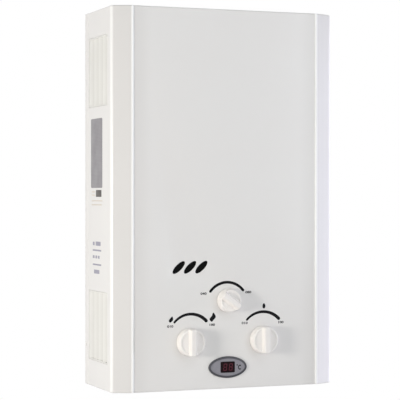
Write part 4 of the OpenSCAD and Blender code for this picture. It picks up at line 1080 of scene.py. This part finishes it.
@dataclass
class ControlKnob:
    """Moulded knob with a hollow skirt, a dished face and a grip bar across it.

    Attributes:
        ramp: where the dish rises inside the rim, and over what width.
        bar_fall: how much faster than the skirt the bar's end falls, how far out it comes, and how far in it starts.
        blend: how soft the foot of the bar is.
        trim: share of that softness that is cut off, so that it ends.
    """

    node: str
    body: str
    x: float
    z: float
    r: float
    turn: float = 0.0
    skirt_h: float = 12.5
    grip_w: float = 12.0
    grip_top: float = 7.0
    grip_h: float = 5.5
    dish: float = 0.8
    rim: float = 3.0
    ramp: Pair = (1.6, 1.2)
    wall: float = 2.4
    edge_r: float = 2.0
    draft: float = 0.6
    bar_r: float = 1.2
    bar_inset: float = 1.5
    bar_fall: tuple[float, float, float] = (1.6, 0.95, 2.0)
    blend: float = 0.12
    trim: float = 0.004
    hub_r: float = 7.5
    bore_r: float = 4.05
    gap: float = 0.5
    bore_over: float = 1.2
    back: float = 138.0
    angles: int = 360

    def sections(self) -> tuple[Points, Points]:
        """Half sections of the knob beside the grip bar and along it, point for point.

        Beside the bar the face is a dish, a rim and a rounded edge. Along it the face is flat to a rounded end, which
        falls nearly straight to the skirt. Both go down the skirt and back inside to the bore.

        Returns:
            Two arrays of radius and height.
        """
        r, top, deep = self.r, self.skirt_h, self.skirt_h - self.dish - self.wall
        a = np.linspace(np.pi / 2, 0, 12)[:, None]
        s = np.linspace(0, 1, 54)[:, None]
        d = np.linspace(0, 1, 10)[1:, None]
        skirt = r - self.draft + self.draft * d
        flat_r = r - self.draft - self.edge_r
        rise = np.clip((s * flat_r - (r - self.rim - self.ramp[0])) / self.ramp[1], 0, 1)
        face = np.hstack([s * flat_r, top - self.dish * (1 - rise * rise * (3 - 2 * rise))])
        edge = np.hstack([flat_r + self.edge_r * np.cos(a), top - self.edge_r + self.edge_r * np.sin(a)])
        side = np.hstack([skirt, (top - self.edge_r) * (1 - d)])
        high, end_r, end = top + self.grip_h, self.bar_r, r - self.bar_inset
        bar = np.hstack([s * (end - end_r), np.full_like(s, high)])
        bar_edge = np.hstack([end - end_r + end_r * np.cos(a), high - end_r + end_r * np.sin(a)])
        speed, out, start = self.bar_fall
        fall = np.clip(d * speed, 0, 1)
        bar_side = np.hstack([np.maximum(end + out * fall, skirt - (1 - fall) * start), (high - end_r) * (1 - d)])
        inside = np.array([[r - self.wall, 0], [r - self.wall - self.draft, deep], [self.hub_r, deep],
                           [self.hub_r, self.gap], [self.bore_r, self.gap], [self.bore_r, deep + self.bore_over],
                           [0, deep + self.bore_over]])
        return np.vstack([face, edge, side, inside]), np.vstack([bar, bar_edge, bar_side, inside])

    def skin(self) -> Skin:
        """Turns the half sections round the axis.

        At each angle the two sections are mixed by the distance u from the bar's middle line: the bar's section holds
        where u is within half its top width and fades evenly to nothing at half its foot.

        Returns:
            Closed surface on the panel.
        """
        plain, bar = self.sections()
        a = whole(self.angles)[None, :]
        u = np.abs(plain[:, :1] * np.cos(a))
        w = np.clip((self.grip_w / 2 - u) / ((self.grip_w - self.grip_top) / 2), -1, 2)
        w = 0.5 * (1 + np.sqrt(w * w + self.blend**2) - np.sqrt((w - 1) ** 2 + self.blend**2))
        w = np.clip((w - self.trim) / (1 - 2 * self.trim), 0, 1)
        r, h = (plain[:, i : i + 1] * (1 - w) + bar[:, i : i + 1] * w for i in (0, 1))
        t = a + math.radians(self.turn)
        flat = np.stack([r * np.cos(t), r * np.sin(t)], -1)
        return cover_grid(on_front(flat, h, (self.x, self.z), self.back), round_v=True)

    def build(self) -> None:
        """Makes the knob on its own body."""
        piece(self.node + "_moulding", self.skin(), KNOB_ABS, self.body, [self.node], sharp=40.0)


@dataclass
class DisplayUnit:
    """Oval display: raised rim, painted face, smoked window and its two digits.

    Attributes:
        sleeve: depth, inner and outer inset of the sleeve behind the panel.
        lens_hole: section of the window's hole, as shares of the window and depths behind the face.
        dot: place and radii of the degree ring, from the middle of the display.
        hook: place and radii of the open ring beside it.
    """

    w: float = 59.6
    h: float = 31.5
    power: float = 1.9
    rim: float = 3.2
    out: float = 2.2
    shoulder: Pair = (1.2, 0.8)
    face_out: float = 1.2
    seat: float = 0.6
    sleeve: tuple[float, float, float] = (7.0, 1.2, 0.15)
    lens_w: float = 22.6
    lens_h: float = 16.2
    lens_t: float = 1.5
    lens_power: float = 14.0
    lens_slip: float = 0.3
    lens_hole: tuple[Pair, ...] = ((1.015, 0.0), (1.0, 0.15), (1.0, 1.2), (1.08, 1.2))
    crown: float = 0.1
    digit_w: float = 5.6
    digit_h: float = 10.2
    digit_x: float = 4.3
    digit_shift: Pair = (0.4, 0.0)
    digit_depth: Pair = (0.5, 0.07)
    bar_w: float = 1.15
    bar_gap: float = 0.12
    lean: float = 0.1
    dot: Row = (14.7, 2.6, 1.05, 0.4)
    hook: Row = (18.9, -0.8, 3.6, 2.1)
    hook_span: Pair = (48.0, 312.0)
    hook_narrow: float = 0.8
    mark_t: float = 0.08

    def placed(self, ring: Points, out: float, shift: Pair = (0.0, 0.0)) -> Points:
        """Ring of points on the display, at a height in front of the panel and moved to the right and up."""
        return on_front(ring, out, (DISPLAY_AT[0] + shift[0], DISPLAY_AT[1] + shift[1]))

    def ring(self, inset: float) -> Points:
        """Outline of the oval moved inwards by one inset."""
        return oval(self.w - 2 * inset, self.h - 2 * inset, self.power)

    def rim_skin(self) -> Skin:
        """Rim: a section with rounded shoulders carried round the oval, and on behind the panel as a sleeve.

        Returns:
            Its closed surface.
        """
        a, (outer, inner), rim = quarter(6), self.shoulder, self.rim
        deep, wide, narrow = self.sleeve
        up = [(outer * (1 - math.sin(t)), self.out - outer * (1 - math.cos(t))) for t in a]
        down = [(rim - inner * (1 - math.sin(t)), self.out - inner * (1 - math.cos(t))) for t in a]
        seat = self.face_out - self.seat
        section = [(0.0, 0.0), *up, *down, (rim, seat), (rim + wide, seat), (rim + wide, -deep),
                   (rim + narrow, -deep), (rim + narrow, 0.0)]
        return hoop([self.placed(self.ring(inset), out) for inset, out in section])

    def face_skin(self) -> Skin:
        """Face: the flat between the rim's oval and the window's rounded box, carried back to give it thickness.

        Returns:
            Its closed surface.
        """
        outer, inner, front = self.ring(self.rim), oval(self.lens_w, self.lens_h, self.lens_power), self.face_out
        hole = [self.placed(inner * share, front - deep) for share, deep in self.lens_hole]
        return hoop([self.placed(outer, front - self.seat), self.placed(outer, front), *hole])

    def lens_skin(self) -> Skin:
        """Window: rounded boxes from the middle to the edge, its crown falling as the fourth power, with a flat back.

        Returns:
            Its closed surface.
        """
        s = np.linspace(0.02, 1, 14)
        ring = oval(self.lens_w - self.lens_slip, self.lens_h - self.lens_slip, self.lens_power)
        front = [self.placed(ring * k, self.face_out - self.crown * (1 + k**4)) for k in s]
        return tube(front + [self.placed(ring * k, self.face_out - self.lens_t) for k in (s[-1], s[0])])

    def digits(self) -> Skin:
        """Digits: seven six-sided bars each, leaning by a tenth, set in the window's front.

        Returns:
            Their closed surfaces as one.
        """
        w, h, b = self.digit_w, self.digit_h / 2, self.bar_w / 2
        p, q = w / 2 - b - self.bar_gap, h / 2 - self.bar_gap
        flat = np.array([[-p, 0], [-p + b, b], [p - b, b], [p, 0], [p - b, -b], [-p + b, -b]])
        upright = np.array([[0, -q], [b, -q + b], [b, q - b], [0, q], [-b, q - b], [-b, -q + b]])
        x = w / 2 - b
        bars = np.array([flat + [0, h - b], flat, flat + [0, b - h], upright + [-x, h / 2], upright + [x, h / 2],
                         upright + [-x, -h / 2], upright + [x, -h / 2]])
        both = np.concatenate([bars + [-self.digit_x, 0], bars + [self.digit_x, 0]])
        both[..., 0] += self.lean * both[..., 1]
        return joined([tube([self.placed(bar, self.face_out - deep, self.digit_shift) for deep in self.digit_depth])
                       for bar in both])

    def degree(self) -> Skin:
        """Mark for degrees beside the window: a small ring carried round a circle, and an open ring below it.

        Returns:
            Both closed surfaces as one.
        """
        low, high = self.face_out - SUNK, self.face_out + self.mark_t
        a, b = whole(40), np.linspace(*np.radians(self.hook_span), 40)
        made = []
        for (x, z, outer, inner), circle in ((self.dot, np.stack([np.cos(a), np.sin(a)], -1)),
                                             (self.hook, np.stack([self.hook_narrow * np.cos(b), np.sin(b)], -1))):
            made.append(np.array([self.placed(r * circle, out, (x, z)) for r, out in (
                (outer, low), (outer, high), (inner, high), (inner, low))]))
        return hoop(made[0]) + tube(made[1].transpose(1, 0, 2))

    def build(self) -> None:
        """Makes the rim, the face, the window, the digits and the mark."""
        piece("display_rim", self.rim_skin(), RIM_ABS, stands_for=["display_bezel"], sharp=40.0)
        piece("display_face", self.face_skin(), FACE_PAINT)
        piece("display_lens", self.lens_skin(), SMOKED_ACRYLIC, stands_for=["display_window"])
        piece("display_digits", self.digits(), DIGIT_BARS)
        piece("display_degree_mark", self.degree(), INK)


# Below the casing


@dataclass
class PipeFitting:
    """Brass nipple with a half-inch pipe thread, a chamfered hexagon, a neck and a bore.

    Attributes:
        run_out: how far before its end the thread has faded, and over what length.
        lead_in: how far below the root the thread's chamfer starts, and its slope.
        hex_cone: radius where the hexagon's chamfer starts, in half widths, and its slope.
    """

    node: str
    x: float
    y: float = -40.0
    thread_r: float = 10.48
    low: float = -11.0
    thread_l: float = 16.0
    pitch: float = 1.814
    depth: float = 1.162
    run_out: Pair = (1.2, 1.6)
    lead_in: Pair = (0.3, 1.2)
    hex_h: float = 5.0
    hex_af: float = 27.0
    hex_edge: float = 0.9
    hex_cone: Pair = (1.01, 1.9)
    neck_r: float = 11.0
    neck_edge: float = 0.6
    top: float = 30.0
    bore: float = 6.5
    bore_edge: float = 0.5
    angles: int = 96

    def skin(self) -> Skin:
        """Polar surface with one radius for each height and angle.

        The thread's radius is a cosine of the height less the turn, cut by a chamfer at its start and run out at its
        end. The hexagon's is its half width over the cosine of the angle from the middle of a flat, cut by a cone.

        Returns:
            Closed surface, up the outside and back down the bore.
        """
        a = whole(self.angles)[None, :]
        end, root, half_af = self.low + self.thread_l, self.thread_r - self.depth, self.hex_af / 2
        z = np.linspace(self.low, end, 97)[:, None]
        wave = 0.5 + 0.5 * np.cos(2 * np.pi * (z / self.pitch) - a)
        fade = np.clip((end - self.run_out[0] - z) / self.run_out[1], 0, 1)
        thread = self.thread_r - self.depth * (1 - (1 - wave) * fade)
        thread = np.minimum(thread, root - self.lead_in[0] + self.lead_in[1] * (z - self.low))
        hexagon = half_af / np.cos(np.mod(a + np.pi / 6, np.pi / 3) - np.pi / 6)
        hz = np.array([0, 0, self.hex_edge, self.hex_h - self.hex_edge, self.hex_h, self.hex_h])[:, None]
        nut = np.minimum(hexagon, half_af * self.hex_cone[0] + self.hex_cone[1] * np.minimum(hz, self.hex_h - hz))
        nut[0], nut[-1] = root, self.neck_r
        neck = np.array([[self.neck_r, self.top - self.neck_edge], [self.neck_r - self.neck_edge, self.top],
                         [self.bore, self.top], [self.bore, self.low + self.bore_edge],
                         [self.bore + self.bore_edge, self.low]])
        r = np.vstack([thread, nut, np.repeat(neck[:, :1], self.angles, 1)])
        height = np.vstack([z, end + hz, neck[:, 1:]])
        return hoop(np.stack(np.broadcast_arrays(self.x + r * np.cos(a), self.y + r * np.sin(a), height), -1))

    def build(self) -> None:
        """Makes the fitting."""
        piece(self.node + "_nipple", self.skin(), BRASS, stands_for=[self.node], sharp=28.0)


# What stays as packed


@dataclass
class CarriedParts:
    """Solids that keep their own shape and get the finish of their slot."""

    plug: str = "drain_plug"

    def build(self) -> None:
        """Dresses every solid, also those that a piece stands for."""
        slots = {s["node"]: s["material_slot"] for s in frame["record"]["subparts"]}
        for name, solid in frame["nodes"].items():
            finish = PLUG_PP if name == self.plug else SLOT_FINISH[slots[name]]
            solid.data.materials.clear()
            solid.data.materials.append(finish.material())
            LOG.info("%s: solid in %s", name, finish.name)


# The studio


@dataclass(frozen=True)
class Softbox:
    """One soft lamp, with lengths in metres and its azimuth in degrees from straight in front towards the left.

    Its share is the light on a surface that faces it, where 1 shows a colour as written.
    """

    name: str
    azimuth: float
    height: float
    distance: float
    size: Pair
    share: float
    colour: str
    aim: tuple[float, float, float] = (0.0, -0.07, 0.275)

    def build(self) -> None:
        """Makes the lamp: its power is the share times the square of its distance and of pi."""
        lamp = bpy.data.lights.new(self.name, "AREA")
        lamp.shape, lamp.size, lamp.size_y = "RECTANGLE", *self.size
        lamp.energy = self.share * math.pi * math.pi * self.distance**2
        lamp.color = linear(self.colour)[:3]
        made = shown(self.name, lamp)
        a, aim = math.radians(self.azimuth), Vector(self.aim)
        made.location = aim + Vector((-math.sin(a) * self.distance, -math.cos(a) * self.distance, self.height - aim.z))
        made.rotation_euler = (aim - made.location).to_track_quat("-Z", "Y").to_euler()
        made.visible_camera = False


@dataclass
class Studio:
    """Camera, lamps, white surround and pale floor, in metres.

    The floor's glow is light of its own that it shows to the eye and in reflections.
    """

    eye: tuple[float, float, float] = (-0.8495, -2.2341, 0.2823)
    yaw: float = 21.432
    lens: float = 140.46
    sensor: float = 36.0
    shift: Pair = (-0.0238, -0.0152)
    lamps: tuple[Softbox, ...] = (
        Softbox("left_side", 98.0, 1.1, 1.7, (0.35, 1.2), 0.12, "#F4FAFF"),
        Softbox("left_key", 66.0, 0.2, 1.5, (0.25, 0.3), 0.48, "#FFFCF7"),
        Softbox("front_fill", 4.0, 0.7, 2.6, (1.5, 1.5), 0.08, "#F3F9FF"),
        Softbox("top_strip", -8.0, 1.35, 1.3, (1.4, 0.3), 0.27, "#F3F9FF"),
        Softbox("right_fill", -36.0, 0.6, 2.6, (0.9, 1.2), 0.14, "#F3F9FF"),
        Softbox("right_side", -88.0, 0.13, 1.4, (0.7, 1.05), 0.48, "#E6E5FF"))
    ambient: float = 0.26
    floor_z: float = -0.35
    floor_r: float = 1.5
    floor_y: float = -0.07
    floor_steps: int = 33
    floor_glow: float = 0.4

    def camera(self) -> None:
        """Sets the camera level, at the picture's angle."""
        data = bpy.data.cameras.new("camera")
        data.lens, data.sensor_width = self.lens, self.sensor
        data.shift_x, data.shift_y = self.shift
        made = shown("camera", data)
        made.location = self.eye
        made.rotation_euler = (math.pi / 2, 0.0, -math.radians(self.yaw))
        bpy.context.scene.camera = made

    def surround(self) -> None:
        """White for the eye, in reflections and through glass, and an even soft light for everything else."""
        world = bpy.data.worlds.new("surround")
        bpy.context.scene.world = world
        world.use_nodes = True
        tree = world.node_tree
        tree.nodes.clear()
        path = put(tree, "LightPath", {}).outputs
        seen = path["Is Camera Ray"]
        for ray in ("Is Glossy Ray", "Is Transmission Ray"):
            seen = put(tree, "Math", {0: seen, 1: path[ray]}, operation="MAXIMUM")
        white = put(tree, "Background", {"Color": linear("#FFFFFF"), "Strength": 1.0})
        soft = put(tree, "Background", {"Color": linear("#FFFFFF"), "Strength": self.ambient})
        put(tree, "OutputWorld", {"Surface": put(tree, "MixShader", {0: seen, 1: soft, 2: white})})

    def floor(self) -> None:
        """Pale floor below the casing, with a faint plaster mottle.

        A square grid drawn out to a disc: each coordinate is shortened by the root of one less half the square of the
        other.
        """
        side = np.linspace(-1, 1, self.floor_steps)
        u, v = np.meshgrid(side, side)
        x, y = self.floor_r * u * np.sqrt(1 - v * v / 2), self.floor_r * v * np.sqrt(1 - u * u / 2)
        grid = np.stack(np.broadcast_arrays(x, y + self.floor_y, self.floor_z), -1) / MM
        mesh = cover_grid(grid).mesh("floor")
        plaster = PLASTER.material()
        tree = plaster.node_tree
        path = put(tree, "LightPath", {}).outputs
        seen = put(tree, "Math", {0: path["Is Camera Ray"], 1: path["Is Glossy Ray"]}, operation="MAXIMUM")
        glow = put(tree, "MapRange", {"Value": seen, "To Max": self.floor_glow})
        shader = next(node for node in tree.nodes if node.type == "BSDF_PRINCIPLED")
        shader.inputs["Emission Color"].default_value = linear(PLASTER.colour)
        tree.links.new(glow.outputs[0], shader.inputs["Emission Strength"])
        mesh.materials.append(plaster)
        shown("floor", mesh)

    def build(self) -> None:
        """Sets up the whole studio."""
        bpy.context.scene.view_settings.view_transform = "Standard"
        self.camera()
        self.surround()
        self.floor()
        for lamp in self.lamps:
            lamp.build()
        LOG.info("studio: %d lamps", len(self.lamps))


def main() -> None:
    """Builds the studio and every piece in order."""
    logging.basicConfig(level=logging.INFO, format="%(name)s %(message)s")
    Studio().build()
    CarriedParts().build()
    CasingCover().build()
    CoverScrews().build()
    for side in Side:
        for place, low_z in GRILLE_Z.items():
            SideGrille(f"grille_{side.name.lower()}_{place}", side, low_z).build()
    WallPlates().build()
    FrontPrint().build()
    ControlKnob("season_knob", "season_control", *SEASON_AT, r=17.0, turn=54.0).build()
    ControlKnob("gas_knob", "gas_control", *GAS_AT, r=20.3).build()
    ControlKnob("water_knob", "water_control", *WATER_AT, r=20.3).build()
    DisplayUnit().build()
    for node, x in PIPE_X.items():
        PipeFitting(node, x).build()


if __name__ == "__main__":
    main()
